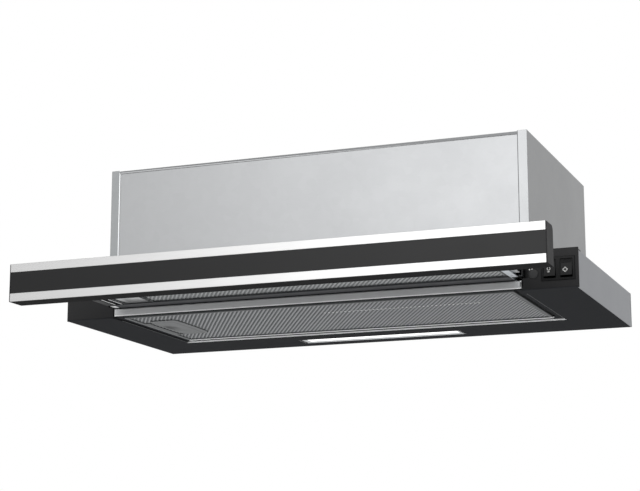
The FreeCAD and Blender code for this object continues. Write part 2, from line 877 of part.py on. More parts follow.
def scroll_half_shell(side):
    outer = scroll_form(scroll_half, 0.0)
    lug_half = scroll_half + scroll_lug
    lug = box(-lug_half, lug_half, outlet_y0, outlet_y1, sheet_under_top - scroll_wall, sheet_under_top)
    shell = fuse([outer, lug]).cut(scroll_form(scroll_half - scroll_wall, scroll_wall))
    inlet = rod((-scroll_half, blower_y, blower_z), 2 * scroll_half, inlet_r, (1, 0, 0))
    shell = shell.cut(inlet)
    far = 2 * scroll_half
    keep = box(0, far, blower_y - far, blower_y + far, blower_z - far, blower_z + far)
    return shell.common(keep if side > 0 else mirrored(keep))


def wheel_blade(x0, x1, turn):
    """One forward curved blade: a thin arc between the inner and the outer ring radius."""
    lean = math.radians(blade_sweep)
    r = wheel_r - blade_stock
    inner = FreeCAD.Vector(x0, blower_y + wheel_inner_r, blower_z)
    outer = FreeCAD.Vector(x0, blower_y + r * math.cos(lean), blower_z + r * math.sin(lean))
    along = outer - inner
    across = FreeCAD.Vector(0, -along.z, along.y).normalize()
    middle = (inner + outer) / 2 - across * blade_bow
    step = across * blade_stock
    front_arc = Part.Arc(inner, middle, outer).toShape()
    back_arc = Part.Arc(outer + step, middle + step, inner + step).toShape()
    tip = Part.LineSegment(outer, outer + step).toShape()
    root = Part.LineSegment(inner + step, inner).toShape()
    outline = Part.Wire([front_arc, tip, back_arc, root])
    blade = Part.Face(outline).extrude(FreeCAD.Vector(x1 - x0, 0, 0))
    blade.rotate(FreeCAD.Vector(0, blower_y, blower_z), FreeCAD.Vector(1, 0, 0), turn)
    return blade


def impeller():
    start = (-wheel_half, blower_y, blower_z)
    rings = [tube(start, ring_stock, wheel_r, wheel_inner_r, (1, 0, 0)),
             tube((wheel_half - ring_stock, blower_y, blower_z), ring_stock, wheel_r,
                  wheel_inner_r, (1, 0, 0))]
    disc = rod((0, blower_y, blower_z), disc_stock, wheel_r, (1, 0, 0))
    hub = rod((0, blower_y, blower_z), hub_length, hub_r, (1, 0, 0))
    bore = rod((0, blower_y, blower_z), hub_length, shaft_r + shaft_gap / 2, (1, 0, 0))
    blades = [wheel_blade(-wheel_half, wheel_half, 360.0 * i / blade_count)
              for i in range(blade_count)]
    return fuse(rings + [disc, hub] + blades).cut(bore)


def motor():
    can = rod((motor_x0, blower_y, blower_z), motor_length, motor_r, (1, 0, 0))
    rims = [edge for edge in can.Edges if edge.Closed]
    can = can.makeFillet(motor_edge, rims)
    boss = rod((-scroll_half, blower_y, blower_z), motor_setback + motor_boss_lap, motor_boss_r, (1, 0, 0))
    bore = rod((motor_x0 + motor_length - motor_bore, blower_y, blower_z), motor_bore,
               shaft_r + shaft_gap, (1, 0, 0))
    return fuse([can, boss]).cut(bore)


def motor_shaft():
    inside = motor_x0 + motor_length - shaft_grip
    return rod((inside, blower_y, blower_z), hub_length - inside, shaft_r, (1, 0, 0))


def motor_bracket():
    """Three arms across the left inlet, with the motor on their hub."""
    x0 = -scroll_half - arm_stock
    hub = rod((x0, blower_y, blower_z), arm_stock, bracket_hub_r, (1, 0, 0))
    arms = []
    for turn in arm_turns:
        arm = box(x0, x0 + arm_stock, blower_y, blower_y + arm_reach,
                  blower_z - arm_width / 2, blower_z + arm_width / 2)
        arm.rotate(FreeCAD.Vector(x0, blower_y, blower_z), FreeCAD.Vector(1, 0, 0), turn)
        arms.append(arm)
    return fuse([hub] + arms)


def blower_screws():
    """Screws of the motor bracket's arms, and of the scroll's lugs below the top panel."""
    x0 = -scroll_half - arm_stock - head_height
    r = (inlet_r + arm_reach) / 2
    screws = []
    for turn in arm_turns:
        angle = math.radians(turn)
        screws.append(rod((x0, blower_y + r * math.cos(angle), blower_z + r * math.sin(angle)),
                          head_height, head_r, (1, 0, 0)))
    lug_x = scroll_half + scroll_lug / 2
    low = sheet_under_top - scroll_wall - head_height
    for x in (-lug_x, lug_x):
        for y in (outlet_y0 + lug_screw_inset, outlet_y1 - lug_screw_inset):
            screws.append(rod((x, y, low), head_height, head_r))
    return screws


# ---------------------------------------------------------------- collar and flaps

collar_bore = collar_r - collar_wall
flap_r = collar_bore - flap_gap
flap_axis_z = top_z + flap_axis_lift
flap_z = flap_axis_z - knuckle_r + flap_lap
knuckle_span = (collar_r - knuckle_end) / 2
knuckle_stops = [knuckle_span * i for i in range(-2, 3)]


def outlet_collar():
    """Flanged spigot with an inner ledge that the closed flaps rest above."""
    base = tube((0, collar_y, top_z), collar_flange, collar_r + collar_brim, collar_bore)
    spigot = tube((0, collar_y, top_z), collar_height, collar_r, collar_bore)
    ledge_z = flap_z - flap_seat_gap - flap_ledge
    ledge = tube((0, collar_y, ledge_z), flap_ledge, collar_bore + ledge_root,
                 collar_bore - flap_ledge_reach)
    pin_hole = rod((0, collar_y - collar_r, flap_axis_z), 2 * collar_r, flap_pin_r + pin_fit, (0, 1, 0))
    return fuse([base, spigot, ledge]).cut(pin_hole)


def flap_pin():
    return rod((0, collar_y - collar_r, flap_axis_z), 2 * collar_r, flap_pin_r, (0, 1, 0))


def flap(side):
    """Half disc with knuckles on the pin; the other flap's knuckles sit in its notches."""
    flap_top = flap_z + flap_stock
    plate = rod((0, collar_y, flap_z), flap_stock, flap_r)
    plate = plate.cut(box(-flap_r, flap_split, collar_y - flap_r, collar_y + flap_r, flap_z, flap_top))
    spans = list(zip(knuckle_stops[:-1], knuckle_stops[1:]))
    own = spans[0::2] if side > 0 else spans[1::2]
    other = spans[1::2] if side > 0 else spans[0::2]
    for low, high in other:
        plate = plate.cut(box(0, knuckle_r + flap_split, collar_y + low - flap_split,
                              collar_y + high + flap_split, flap_z, flap_top))
    barrels = [rod((0, collar_y + low + flap_split, flap_axis_z), high - low - 2 * flap_split,
                   knuckle_r, (0, 1, 0))
               for low, high in own]
    bore = rod((0, collar_y - flap_r, flap_axis_z), 2 * flap_r, flap_pin_r + knuckle_gap, (0, 1, 0))
    whole = fuse([plate] + barrels).cut(bore)
    return whole if side > 0 else mirrored(whole)


def collar_screws():
    r = collar_r + collar_brim / 2
    screws = []
    for i in range(4):
        angle = math.radians(45 + 90 * i)
        screws.append(rod((r * math.cos(angle), collar_y + r * math.sin(angle),
                           top_z + collar_flange), head_height, head_r))
    return screws


# ---------------------------------------------------------------- electrics

def terminal_box():
    z0 = sheet_under_top - box_size[2]
    shell = box(box_x0, box_x1, box_y0, box_y1, z0, sheet_under_top)
    hollow = box(box_x0 + wall, box_x1 - wall, box_y0 + wall, box_y1 - wall, z0, sheet_under_top - wall)
    entry = rod((gland_x, gland_y, sheet_under_top - wall), wall, gland_thread_r)
    return shell.cut([hollow, entry])


def terminal_lid():
    z1 = sheet_under_top - box_size[2]
    return box(box_x0 - lid_lap, box_x1 + lid_lap, box_y0 - lid_lap, box_y1 + lid_lap, z1 - lid_stock, z1)


def capacitor():
    """Motor capacitor, lying against the terminal box's left side under the top panel."""
    can = rod((box_x0 - capacitor_r, box_y0, sheet_under_top - capacitor_r), capacitor_length,
              capacitor_r, (0, 1, 0))
    rims = [edge for edge in can.Edges if edge.Closed]
    return can.makeFillet(capacitor_edge, rims)


def cable_gland():
    z0 = sheet_under_top - wall - gland_drop
    seat_top = top_z + gland_seat
    height = top_z + gland_rise - z0
    place = (gland_x, gland_y, z0)
    stem = rod(place, height, gland_thread_r - touch_gap)
    seat = rod((gland_x, gland_y, top_z), gland_seat, gland_nut_r)
    lower_nut = rod((gland_x, gland_y, z0 + gland_tail), gland_drop - gland_tail, gland_nut_r)
    dome = Part.makeCone(gland_r, gland_tip_r, top_z + gland_rise - seat_top,
                         FreeCAD.Vector(gland_x, gland_y, seat_top))
    return fuse([stem, seat, lower_nut, dome]).cut(rod(place, height, gland_bore_r))


# ---------------------------------------------------------------- fasteners

def rear_screws():
    """Pan heads that hold the rear panel to the side panels' rear flanges."""
    screws = []
    for side in (-1, 1):
        x = side * (half_upper - flange / 2)
        for share in rear_screw_shares:
            z = seat_z + upper_height * share
            screws.append(rod((x, upper_rear_y, z), head_height, head_r, (0, 1, 0)))
    return screws


# ---------------------------------------------------------------- build

os.makedirs("parts", exist_ok=True)

save_pair("upper_left_panel", "upper_right_panel", [upper_side_panel()])
save("upper_front_panel", [upper_front_panel()])
save("top_panel", [top_panel()])
save("rear_panel", [rear_panel()])
save_pair("left_wing", "right_wing", [wing()])
save("cabinet_nuts", cabinet_nuts())
save_both("inner_walls", [inner_wall()])
save("slot_header", [slot_header()])
save("underside_panel", [underside_panel()])
save("left_front_block", [mirrored(front_block(False))])
save("right_front_block", [front_block(True)])
save("crossbar", [crossbar()])

save("lower_filter_frame", [filter_frame(lower_filter)])
save("lower_filter_mesh", [filter_mesh(lower_filter)])
save("lower_filter_latch", [filter_latch(lower_filter)])
save("visor_filter_frame", [filter_frame(visor_filter)])
save("visor_filter_mesh", [filter_mesh(visor_filter)])
save("visor_filter_latch", [filter_latch(visor_filter)])

save("bar_core", [bar_core()])
save("bar_lower_strip", [bar_strip(bar_z, strip_height, 0.0)])
save("bar_upper_strip", [bar_strip(bar_z + bar_height - strip_height, strip_height, 0.0)])
save("bar_black_panel", [bar_strip(bar_z + strip_height, bar_height - 2 * strip_height, black_inset)])
save_pair("bar_left_cap", "bar_right_cap", [bar_cap()])
save_pair("visor_left_side", "visor_right_side", [visor_side_member()])
save("visor_rear_rail", [visor_rear_rail()])
save("visor_top_sheet", [visor_top_sheet()])
save_both("slide_channels", [slide_channel()])
save_pair("left_slide_member", "right_slide_member", [slide_member()])
save_both("ball_cages", ball_cage())
save("switch_bezel", [switch_bezel()])
save("switch_body", [switch_body()])
save("light_rocker", [rocker(rocker_centres()[0])])
save("fan_rocker", [rocker(rocker_centres()[1])])
save("indicator", [indicator()])
save("visor_switch", [visor_switch()])
save("visor_switch_plunger", [visor_switch_plunger()])
save("lamp_housing", [lamp_housing()])
save("lamp_lens", [lamp_lens()])
save("lamp_board", [lamp_board()])
save("scroll_left_half", [scroll_half_shell(-1)])
save("scroll_right_half", [scroll_half_shell(1)])
save("impeller", [impeller()])
save("motor", [motor()])
save("motor_shaft", [motor_shaft()])
save("motor_bracket", [motor_bracket()])
save("outlet_collar", [outlet_collar()])
save("flap_pin", [flap_pin()])
save("left_flap", [flap(-1)])
save("right_flap", [flap(1)])
save("terminal_box", [terminal_box()])
save("terminal_lid", [terminal_lid()])
save("capacitor", [capacitor()])
save("cable_gland", [cable_gland()])
save("pan_head_screws", rear_screws() + collar_screws() + blower_screws())
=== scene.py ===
import json
import bmesh
import bpy
import numpy as np
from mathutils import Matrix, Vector
from mathutils.bvhtree import BVHTree


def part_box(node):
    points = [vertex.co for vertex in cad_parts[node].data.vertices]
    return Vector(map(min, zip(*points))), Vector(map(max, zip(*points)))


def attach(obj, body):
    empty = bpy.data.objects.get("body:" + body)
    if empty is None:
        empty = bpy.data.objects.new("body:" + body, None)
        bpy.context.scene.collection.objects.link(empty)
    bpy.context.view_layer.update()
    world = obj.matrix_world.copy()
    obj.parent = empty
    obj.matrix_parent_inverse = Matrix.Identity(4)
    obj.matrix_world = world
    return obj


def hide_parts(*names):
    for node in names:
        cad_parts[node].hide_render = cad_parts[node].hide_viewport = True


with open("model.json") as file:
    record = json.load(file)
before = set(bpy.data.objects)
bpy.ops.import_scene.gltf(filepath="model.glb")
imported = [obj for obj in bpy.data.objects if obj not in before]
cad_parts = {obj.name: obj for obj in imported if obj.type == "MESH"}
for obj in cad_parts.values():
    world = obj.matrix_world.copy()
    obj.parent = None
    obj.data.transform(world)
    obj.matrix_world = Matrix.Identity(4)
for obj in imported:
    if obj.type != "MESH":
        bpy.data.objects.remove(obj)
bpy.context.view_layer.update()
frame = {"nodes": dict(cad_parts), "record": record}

nodeBody = {}
for bodyName, members in frame["record"]["behaviour"]["bodies"].items():
    for member in members:
        nodeBody[member] = bodyName
nodeSlot = {row["node"]: row["material_slot"] for row in frame["record"]["subparts"]}
mm = 0.001


# small tools

def hexColour(code, alpha=1.0):   # sRGB hex to the linear colour that the shader wants
    value = np.array([int(code[i:i + 2], 16) / 255 for i in (1, 3, 5)])
    linear = np.where(value <= 0.04045, value / 12.92, ((value + 0.055) / 1.055) ** 2.4)
    return (*[float(part) for part in linear], alpha)


def addNode(tree, kind, settings=None, links=None):   # one node with its settings, input values and links
    node = tree.nodes.new(kind)
    for name, value in (settings or {}).items():
        setattr(node, name, value)
    for name, value in (links or {}).items():
        if isinstance(value, bpy.types.NodeSocket):
            tree.links.new(value, node.inputs[name])
        else:
            node.inputs[name].default_value = value
    return node


def startMaterial(name, colour, metallic, roughness, specular=0.5):
    material = bpy.data.materials.new(name)
    material.use_nodes = True
    tree = material.node_tree
    shader = tree.nodes["Principled BSDF"]
    shader.inputs["Base Color"].default_value = hexColour(colour)
    shader.inputs["Metallic"].default_value = metallic
    shader.inputs["Roughness"].default_value = roughness
    shader.inputs["Specular IOR Level"].default_value = specular
    return material, tree, shader


def spread(tree, value, low, high):   # carries a 0 to 1 pattern to low to high
    ramp = addNode(tree, "ShaderNodeMapRange", {}, {"Value": value, "To Min": low, "To Max": high})
    return ramp.outputs["Result"]


# cloudy pattern whose patches are about sizeMm wide
def noise(tree, place, sizeMm, detail=3.0, stretch=(1, 1, 1)):
    scaled = addNode(tree, "ShaderNodeMapping", {}, {"Vector": place, "Scale": stretch})
    made = addNode(tree, "ShaderNodeTexNoise", {"noise_dimensions": "3D"},
                   {"Vector": scaled.outputs["Vector"], "Scale": 1.0 / (sizeMm * mm), "Detail": detail})
    return made.outputs["Fac"]


def tint(tree, shader, colour, factor):   # base colour times a grey factor
    mixed = addNode(tree, "ShaderNodeVectorMath", {"operation": "SCALE"}, {0: hexColour(colour)[:3], "Scale": factor})
    tree.links.new(mixed.outputs["Vector"], shader.inputs["Base Color"])


def bump(tree, shader, height, depthMm, strength=1.0):
    made = addNode(tree, "ShaderNodeBump", {}, {"Height": height, "Distance": depthMm * mm, "Strength": strength})
    tree.links.new(made.outputs["Normal"], shader.inputs["Normal"])


# roughness swings about its middle with a 0 to 1 pattern
def varyRoughness(tree, shader, pattern, middle, swing):
    tree.links.new(spread(tree, pattern, middle - swing, middle + swing), shader.inputs["Roughness"])


# materials

# cold rolled and zinc coated sheet: soft grey clouds and a fine rolling grain along the sheet
def rolledSteel(name, look, roughSwing=0.05, dent=0.25):
    material, tree, shader = startMaterial(name, look["colour"], look.get("metallic", 1.0), look["roughness"])
    place = addNode(tree, "ShaderNodeTexCoord").outputs["Object"]
    clouds = noise(tree, place, look["cloudMm"], 4.0)
    spangle = addNode(tree, "ShaderNodeTexVoronoi", {"feature": "F1"},
                      {"Vector": place, "Scale": 1 / (look["spangleMm"] * mm)})
    grain = noise(tree, place, look["grainMm"], 2.0, look["grainStretch"])
    spangleGrey = addNode(tree, "ShaderNodeSeparateColor", {}, {"Color": spangle.outputs["Color"]}).outputs["Red"]
    total = addNode(tree, "ShaderNodeMath", {"operation": "MULTIPLY"},
                    {0: spread(tree, clouds, 1 - look["cloud"], 1 + look["cloud"]),
                     1: spread(tree, spangleGrey, 1 - look["spangle"], 1 + look["spangle"])})
    total = addNode(tree, "ShaderNodeMath", {"operation": "MULTIPLY"},
                    {0: total.outputs[0], 1: spread(tree, grain, 1 - look["grain"], 1 + look["grain"])})
    tint(tree, shader, look["colour"], total.outputs[0])
    varyRoughness(tree, shader, clouds, look["roughness"], roughSwing)
    bump(tree, shader, grain, look["bumpMm"], dent)
    return material


# anodised profile, brushed along its length: long fine scratches and a soft white sheen
def brushedAluminium(name, look, smudgeMm=35.0, roughSwing=0.04, bumpMm=0.02, dent=0.2):
    material, tree, shader = startMaterial(name, look["colour"], 1.0, look["roughness"])
    place = addNode(tree, "ShaderNodeTexCoord").outputs["Object"]
    scratch = noise(tree, place, look["scratchMm"], 3.0, (look["along"], 1, 1))
    smudge = noise(tree, place, smudgeMm, 2.0)
    tint(tree, shader, look["colour"], spread(tree, scratch, 1 - look["scratch"], 1 + look["scratch"]))
    varyRoughness(tree, shader, smudge, look["roughness"], roughSwing)
    bump(tree, shader, scratch, bumpMm, dent)
    return material


# ABS from a spark eroded mould: a fine pebble grain and slightly shiny patches
def mouldedPlastic(name, look, wearMm=28.0, roughSwing=0.06, dent=0.4):
    material, tree, shader = startMaterial(name, look["colour"], 0.0, look["roughness"], look["specular"])
    place = addNode(tree, "ShaderNodeTexCoord").outputs["Object"]
    pebble = noise(tree, place, look["pebbleMm"], 2.0)
    wear = noise(tree, place, wearMm, 3.0)
    tint(tree, shader, look["colour"], spread(tree, wear, 1 - look["wear"], 1 + look["wear"]))
    varyRoughness(tree, shader, wear, look["roughness"], roughSwing)
    bump(tree, shader, pebble, look["bumpMm"], dent)
    return material


# baked powder paint on sheet steel: an orange peel skin with small dull flecks
def powderCoat(name, look, driftMm=90.0, roughSwing=0.05, dent=0.35):
    material, tree, shader = startMaterial(name, look["colour"], 0.0, look["roughness"], look["specular"])
    place = addNode(tree, "ShaderNodeTexCoord").outputs["Object"]
    peel = noise(tree, place, look["peelMm"], 2.0)
    drift = noise(tree, place, driftMm, 2.0)
    tint(tree, shader, look["colour"], spread(tree, drift, 1 - look["drift"], 1 + look["drift"]))
    varyRoughness(tree, shader, drift, look["roughness"], roughSwing)
    bump(tree, shader, peel, look["bumpMm"], dent)
    return material


# extruded opal acrylic, lit from behind: even white glow with a faint haze
def opalDiffuser(name, look, hazeMm=14.0):
    material, tree, shader = startMaterial(name, look["colour"], 0.0, look["roughness"])
    place = addNode(tree, "ShaderNodeTexCoord").outputs["Object"]
    haze = noise(tree, place, hazeMm, 2.0)
    tint(tree, shader, look["colour"], spread(tree, haze, 0.98, 1.0))
    shader.inputs["Emission Color"].default_value = hexColour("#FFFFFF")
    shader.inputs["Emission Strength"].default_value = look["glow"]
    return material


finishes = {
    "galvanised_steel": rolledSteel("galvanised steel, cold rolled and skin passed",
        {"colour": "#848586", "roughness": 0.4, "cloud": 0.035, "cloudMm": 55, "spangle": 0.012, "spangleMm": 9,
         "grain": 0.015, "grainMm": 1.2, "grainStretch": (0.15, 1, 1), "bumpMm": 0.02}),
    "crossbar_steel": rolledSteel("stainless steel, folded and satin polished",
        {"colour": "#B6B7B8", "roughness": 0.5, "metallic": 0.45, "cloud": 0.03, "cloudMm": 70, "spangle": 0.0,
         "spangleMm": 9, "grain": 0.03, "grainMm": 0.9, "grainStretch": (0.05, 1, 1), "bumpMm": 0.02}),
    "visor_steel": rolledSteel("zinc plated steel, folded",
        {"colour": "#D5DADF", "roughness": 0.35, "cloud": 0.03, "cloudMm": 40, "spangle": 0.01, "spangleMm": 6,
         "grain": 0.02, "grainMm": 1.0, "grainStretch": (1, 0.1, 1), "bumpMm": 0.02}),
    "slide_zinc": rolledSteel("slide rail steel, bright zinc plated",
        {"colour": "#DDE0E3", "roughness": 0.32, "cloud": 0.04, "cloudMm": 25, "spangle": 0.01, "spangleMm": 5,
         "grain": 0.03, "grainMm": 0.8, "grainStretch": (1, 0.06, 1), "bumpMm": 0.02}),
    "zinc": rolledSteel("hardware steel, bright zinc plated",
        {"colour": "#A8AAA6", "roughness": 0.34, "cloud": 0.05, "cloudMm": 12, "spangle": 0.0, "spangleMm": 5,
         "grain": 0.02, "grainMm": 0.7, "grainStretch": (1, 1, 1), "bumpMm": 0.01}),
    "bar_silver": brushedAluminium("anodised aluminium, brushed lengthways",
        {"colour": "#9F9F9F", "roughness": 0.36, "scratch": 0.03, "scratchMm": 0.9, "along": 0.02}),
    "filter_aluminium": brushedAluminium("mill finish aluminium, folded",
        {"colour": "#989B9D", "roughness": 0.42, "scratch": 0.04, "scratchMm": 1.4, "along": 0.1}),
    "black_sheet": powderCoat("sheet steel, black powder coated",
        {"colour": "#2A2B2D", "roughness": 0.9, "specular": 0.03, "drift": 0.05, "peelMm": 1.4, "bumpMm": 0.03}),
    "bar_black": powderCoat("aluminium strip, satin black lacquer",
        {"colour": "#0D0D0E", "roughness": 0.36, "specular": 0.165, "drift": 0.04, "peelMm": 1.0, "bumpMm": 0.01}),
    "motor_paint": powderCoat("motor can, grey enamel",
        {"colour": "#6C6D70", "roughness": 0.45, "specular": 0.5, "drift": 0.05, "peelMm": 1.2, "bumpMm": 0.02}),
    "latch_metal": powderCoat("latch plate, grey satin enamel",
        {"colour": "#6A6C6E", "roughness": 0.5, "specular": 0.4, "drift": 0.06, "peelMm": 0.9, "bumpMm": 0.01}),
    "black_plastic": mouldedPlastic("black ABS, moulded with a fine grain",
        {"colour": "#171718", "roughness": 0.62, "specular": 0.2, "wear": 0.08, "pebbleMm": 0.7, "bumpMm": 0.03}),
    "bar_plastic": mouldedPlastic("dark grey ABS, moulded end caps",
        {"colour": "#1F1F20", "roughness": 0.6, "specular": 0.16, "wear": 0.06, "pebbleMm": 0.8, "bumpMm": 0.03}),
    "gloss_black": mouldedPlastic("black polycarbonate, polished mould",
        {"colour": "#0D0D0E", "roughness": 0.38, "specular": 0.1, "wear": 0.06, "pebbleMm": 2.5, "bumpMm": 0.005}),
    "blower_plastic": mouldedPlastic("grey polypropylene, moulded blower",
        {"colour": "#55575A", "roughness": 0.55, "specular": 0.4, "wear": 0.06, "pebbleMm": 1.0, "bumpMm": 0.03}),
    "white_plastic": mouldedPlastic("white nylon, moulded",
        {"colour": "#DADAD5", "roughness": 0.5, "specular": 0.4, "wear": 0.04, "pebbleMm": 1.0, "bumpMm": 0.02}),
    "board": mouldedPlastic("lamp board, white solder mask",
        {"colour": "#E2E4DF", "roughness": 0.45, "specular": 0.4, "wear": 0.03, "pebbleMm": 0.8, "bumpMm": 0.01}),
    "lens": opalDiffuser("opal acrylic, extruded diffuser", {"colour": "#F4F5F2", "roughness": 0.5, "glow": 0.9}),
}
# filter rims and the underside's side hems in a darkened aluminium, as painted shade
shadedFrameGrey = brushedAluminium("grey aluminium filter rim, darkened as painted shade",
    {"colour": "#565859", "roughness": 0.5, "scratch": 0.05, "scratchMm": 1.2, "along": 0.2})
padDark = powderCoat("aluminium pad behind the mesh, in shadow",
    {"colour": "#525456", "roughness": 0.85, "specular": 0.1, "drift": 0.1, "peelMm": 3.0, "bumpMm": 0.1})
printWhite = mouldedPlastic("white pad printed ink",
    {"colour": "#B9B9B7", "roughness": 0.5, "specular": 0.3, "wear": 0.02, "pebbleMm": 0.5, "bumpMm": 0.002})
wingSteel = rolledSteel("zinc coated sheet, skin passed, cooler tone",
    {"colour": "#7C7E82", "roughness": 0.42, "cloud": 0.035, "cloudMm": 60, "spangle": 0.012, "spangleMm": 9,
     "grain": 0.015, "grainMm": 1.2, "grainStretch": (1, 0.15, 1), "bumpMm": 0.02})
# slide channels and the far side of the visor: a near-black copy of the zinc plate with almost no shine, as painted
# shade
shadedZinc = rolledSteel("zinc plated steel, darkened as painted shade",
    {"colour": "#2B2C2D", "roughness": 0.6, "metallic": 0.2, "cloud": 0.08, "cloudMm": 18, "spangle": 0.01,
     "spangleMm": 6, "grain": 0.03, "grainMm": 0.9, "grainStretch": (1, 0.1, 1), "bumpMm": 0.02})
railBlack = powderCoat("visor rail, black powder coated",
    {"colour": "#4C4D4F", "roughness": 0.8, "specular": 0.1, "drift": 0.05, "peelMm": 1.2, "bumpMm": 0.02})
shadeBlack = mouldedPlastic("black ABS, near-black as painted shade",   # painted shade on undersides, the crossbar's shadow strip, the visor frame's left side and the rocker heads
    {"colour": "#121213", "roughness": 0.85, "specular": 0.08, "wear": 0.06, "pebbleMm": 0.9, "bumpMm": 0.02})
smokedLens = mouldedPlastic("smoked polycarbonate, indicator lens",
    {"colour": "#202021", "roughness": 0.35, "specular": 0.22, "wear": 0.04, "pebbleMm": 2.0, "bumpMm": 0.003})
# a dark grey strip that paints the shadow in a seam
shadowLineGrey = powderCoat("dark grey strip, painted shadow in a sheet seam",
    {"colour": "#5A5B5D", "roughness": 0.8, "specular": 0.1, "drift": 0.05, "peelMm": 1.0, "bumpMm": 0.01})
# one mesh aluminium in two tones: the visor's lighter as painted light, the lower one darker as painted shade
leafLitAndShadedTone = {kind: brushedAluminium("expanded aluminium mesh, %s filter" % kind,
    {"colour": colour, "roughness": 0.42, "scratch": 0.04, "scratchMm": 1.4, "along": 0.1})
    for kind, colour in (("lower", "#8E9092"), ("visor", "#ABADAE"))}
# a darker copy of the galvanised sheet: painted shade on the top panel's front lip
lipShadeSteel = rolledSteel("zinc coated sheet, folded lip darkened as painted shade",
    {"colour": "#5D5E5F", "roughness": 0.45, "cloud": 0.05, "cloudMm": 40, "spangle": 0.01, "spangleMm": 9,
     "grain": 0.02, "grainMm": 1.2, "grainStretch": (0.15, 1, 1), "bumpMm": 0.02})
# a darker copy of the galvanised sheet for the left panel, as painted shade
leftShadedSteel = rolledSteel("zinc coated sheet, skin passed, left panel",
    {"colour": "#787A7B", "roughness": 0.4, "cloud": 0.035, "cloudMm": 55, "spangle": 0.012, "spangleMm": 9,
     "grain": 0.015, "grainMm": 1.2, "grainStretch": (0.15, 1, 1), "bumpMm": 0.02})


# finger plate enamel: painted light, running from tone[0] at the front to tone[1] at the back, and painted shade in
# its hollow
def shadedPlate(name, look):
    material, tree, shader = startMaterial(name, look["colour"], look["metallic"], look["roughness"], 0.4)
    place = addNode(tree, "ShaderNodeTexCoord").outputs["Object"]
    split = addNode(tree, "ShaderNodeSeparateXYZ", {}, {"Vector": place})
    front, back = [edge * mm for edge in look["y"]]
    frontToBackLight = addNode(tree, "ShaderNodeMapRange", {"interpolation_type": "SMOOTHSTEP"},
                  {"Value": split.outputs["Y"], "From Min": front, "From Max": back, "To Min": look["tone"][0],
                   "To Max": look["tone"][1]})
    centred = addNode(tree, "ShaderNodeMapping", {"vector_type": "POINT"},
                      {"Vector": place, "Location": [-c / r for c, r in zip(look["hollowAt"], look["hollowMm"])],
                       "Scale": [1 / (r * mm) for r in look["hollowMm"]]})
    reach = addNode(tree, "ShaderNodeVectorMath", {"operation": "LENGTH"}, {0: centred.outputs["Vector"]})
    hollowShade = addNode(tree, "ShaderNodeMapRange", {"interpolation_type": "SMOOTHSTEP"},
                   {"Value": reach.outputs["Value"], "From Min": 0.15, "From Max": 1.0, "To Min": look["hollowShade"],
                    "To Max": 1.0})
    scuff = noise(tree, place, 6.0, 3.0)
    total = addNode(tree, "ShaderNodeMath", {"operation": "MULTIPLY"},
                    {0: frontToBackLight.outputs["Result"], 1: hollowShade.outputs["Result"]})
    total = addNode(tree, "ShaderNodeMath", {"operation": "MULTIPLY"},
                    {0: total.outputs[0], 1: spread(tree, scuff, 0.95, 1.05)})
    tint(tree, shader, look["colour"], total.outputs[0])
    bump(tree, shader, scuff, 0.02, 0.2)
    return material


# near-white steel with little mirror in it: painted highlight on edges, hems, lips, ribs, bonds and small undersides
highlightWhite = rolledSteel("near-white steel, painted highlight",
    {"colour": "#F4F5F6", "roughness": 0.4, "metallic": 0.15, "cloud": 0.02, "cloudMm": 20, "spangle": 0.0,
     "spangleMm": 5, "grain": 0.02, "grainMm": 0.8, "grainStretch": (0.1, 1, 1), "bumpMm": 0.005})
print("materials ready")


# surfaces

def makePiece(name, points, faces, body, material, recalc=True):   # points in millimetres
    mesh = bpy.data.meshes.new(name)
    mesh.from_pydata((np.asarray(points, float).reshape(-1, 3) * mm).tolist(), [], faces)
    if recalc:
        work = bmesh.new()
        work.from_mesh(mesh)
        bmesh.ops.remove_doubles(work, verts=work.verts, dist=1e-7)
        bmesh.ops.recalc_face_normals(work, faces=work.faces)
        work.to_mesh(mesh)
        work.free()
    mesh.materials.append(material)
    piece = bpy.data.objects.new(name, mesh)
    bpy.context.scene.collection.objects.link(piece)
    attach(piece, body)
    return piece


def nodeCorners(node):   # lowest and highest corner of a CAD node in millimetres
    return [np.array(corner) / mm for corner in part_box(node)]


def sectionCorners(low, high):   # the four (y, z) corners of the box between two points
    return [(low[1], low[2]), (high[1], low[2]), (high[1], high[2]), (low[1], high[2])]


def gridFaces(rows, columns, wrapRows=False, wrapColumns=False):   # quads between neighbouring grid points
    i = np.arange(rows if wrapRows else rows - 1)
    j = np.arange(columns if wrapColumns else columns - 1)
    a, b = np.meshgrid(i, j, indexing="ij")
    a, b = a.ravel(), b.ravel()
    nextRow, nextColumn = (a + 1) % rows, (b + 1) % columns
    return np.stack([a * columns + b, nextRow * columns + b, nextRow * columns + nextColumn,
                     a * columns + nextColumn], 1).tolist()


# each corner becomes an arc: corner plus radius times a quarter turn between its two sides
def roundedOutline(corners, radius, steps=4):
    corners = np.asarray(corners, float)
    before = np.roll(corners, 1, 0) - corners
    after = np.roll(corners, -1, 0) - corners
    before /= np.linalg.norm(before, axis=1)[:, None]
    after /= np.linalg.norm(after, axis=1)[:, None]
    turn = np.linspace(0, np.pi / 2, steps + 1)[None, :, None]
    near = (1 - np.sin(turn)) * before[:, None] + (1 - np.cos(turn)) * after[:, None]
    return (corners[:, None] + radius * near).reshape(-1, 2)


def carriedAlongX(outline, xs):   # closed (y, z) outline set at each x, with a flat face on both ends
    outline, xs = np.asarray(outline, float), np.asarray(xs, float)
    points = np.empty((len(xs), len(outline), 3))
    points[..., 0] = xs[:, None]
    points[..., 1:] = outline[None]
    faces = gridFaces(len(xs), len(outline), wrapColumns=True)
    ring = list(range(len(outline)))
    faces.append(ring[::-1])
    faces.append([(len(xs) - 1) * len(outline) + k for k in ring])
    return points, faces


# bar along x whose four long edges are rounded
def stripPiece(name, low, high, body, material, edge=0.1):
    corners = sectionCorners(low, high)
    points, faces = carriedAlongX(roundedOutline(corners, edge, 2), np.linspace(low[0], high[0], 5))
    return makePiece(name, points, faces, body, material)


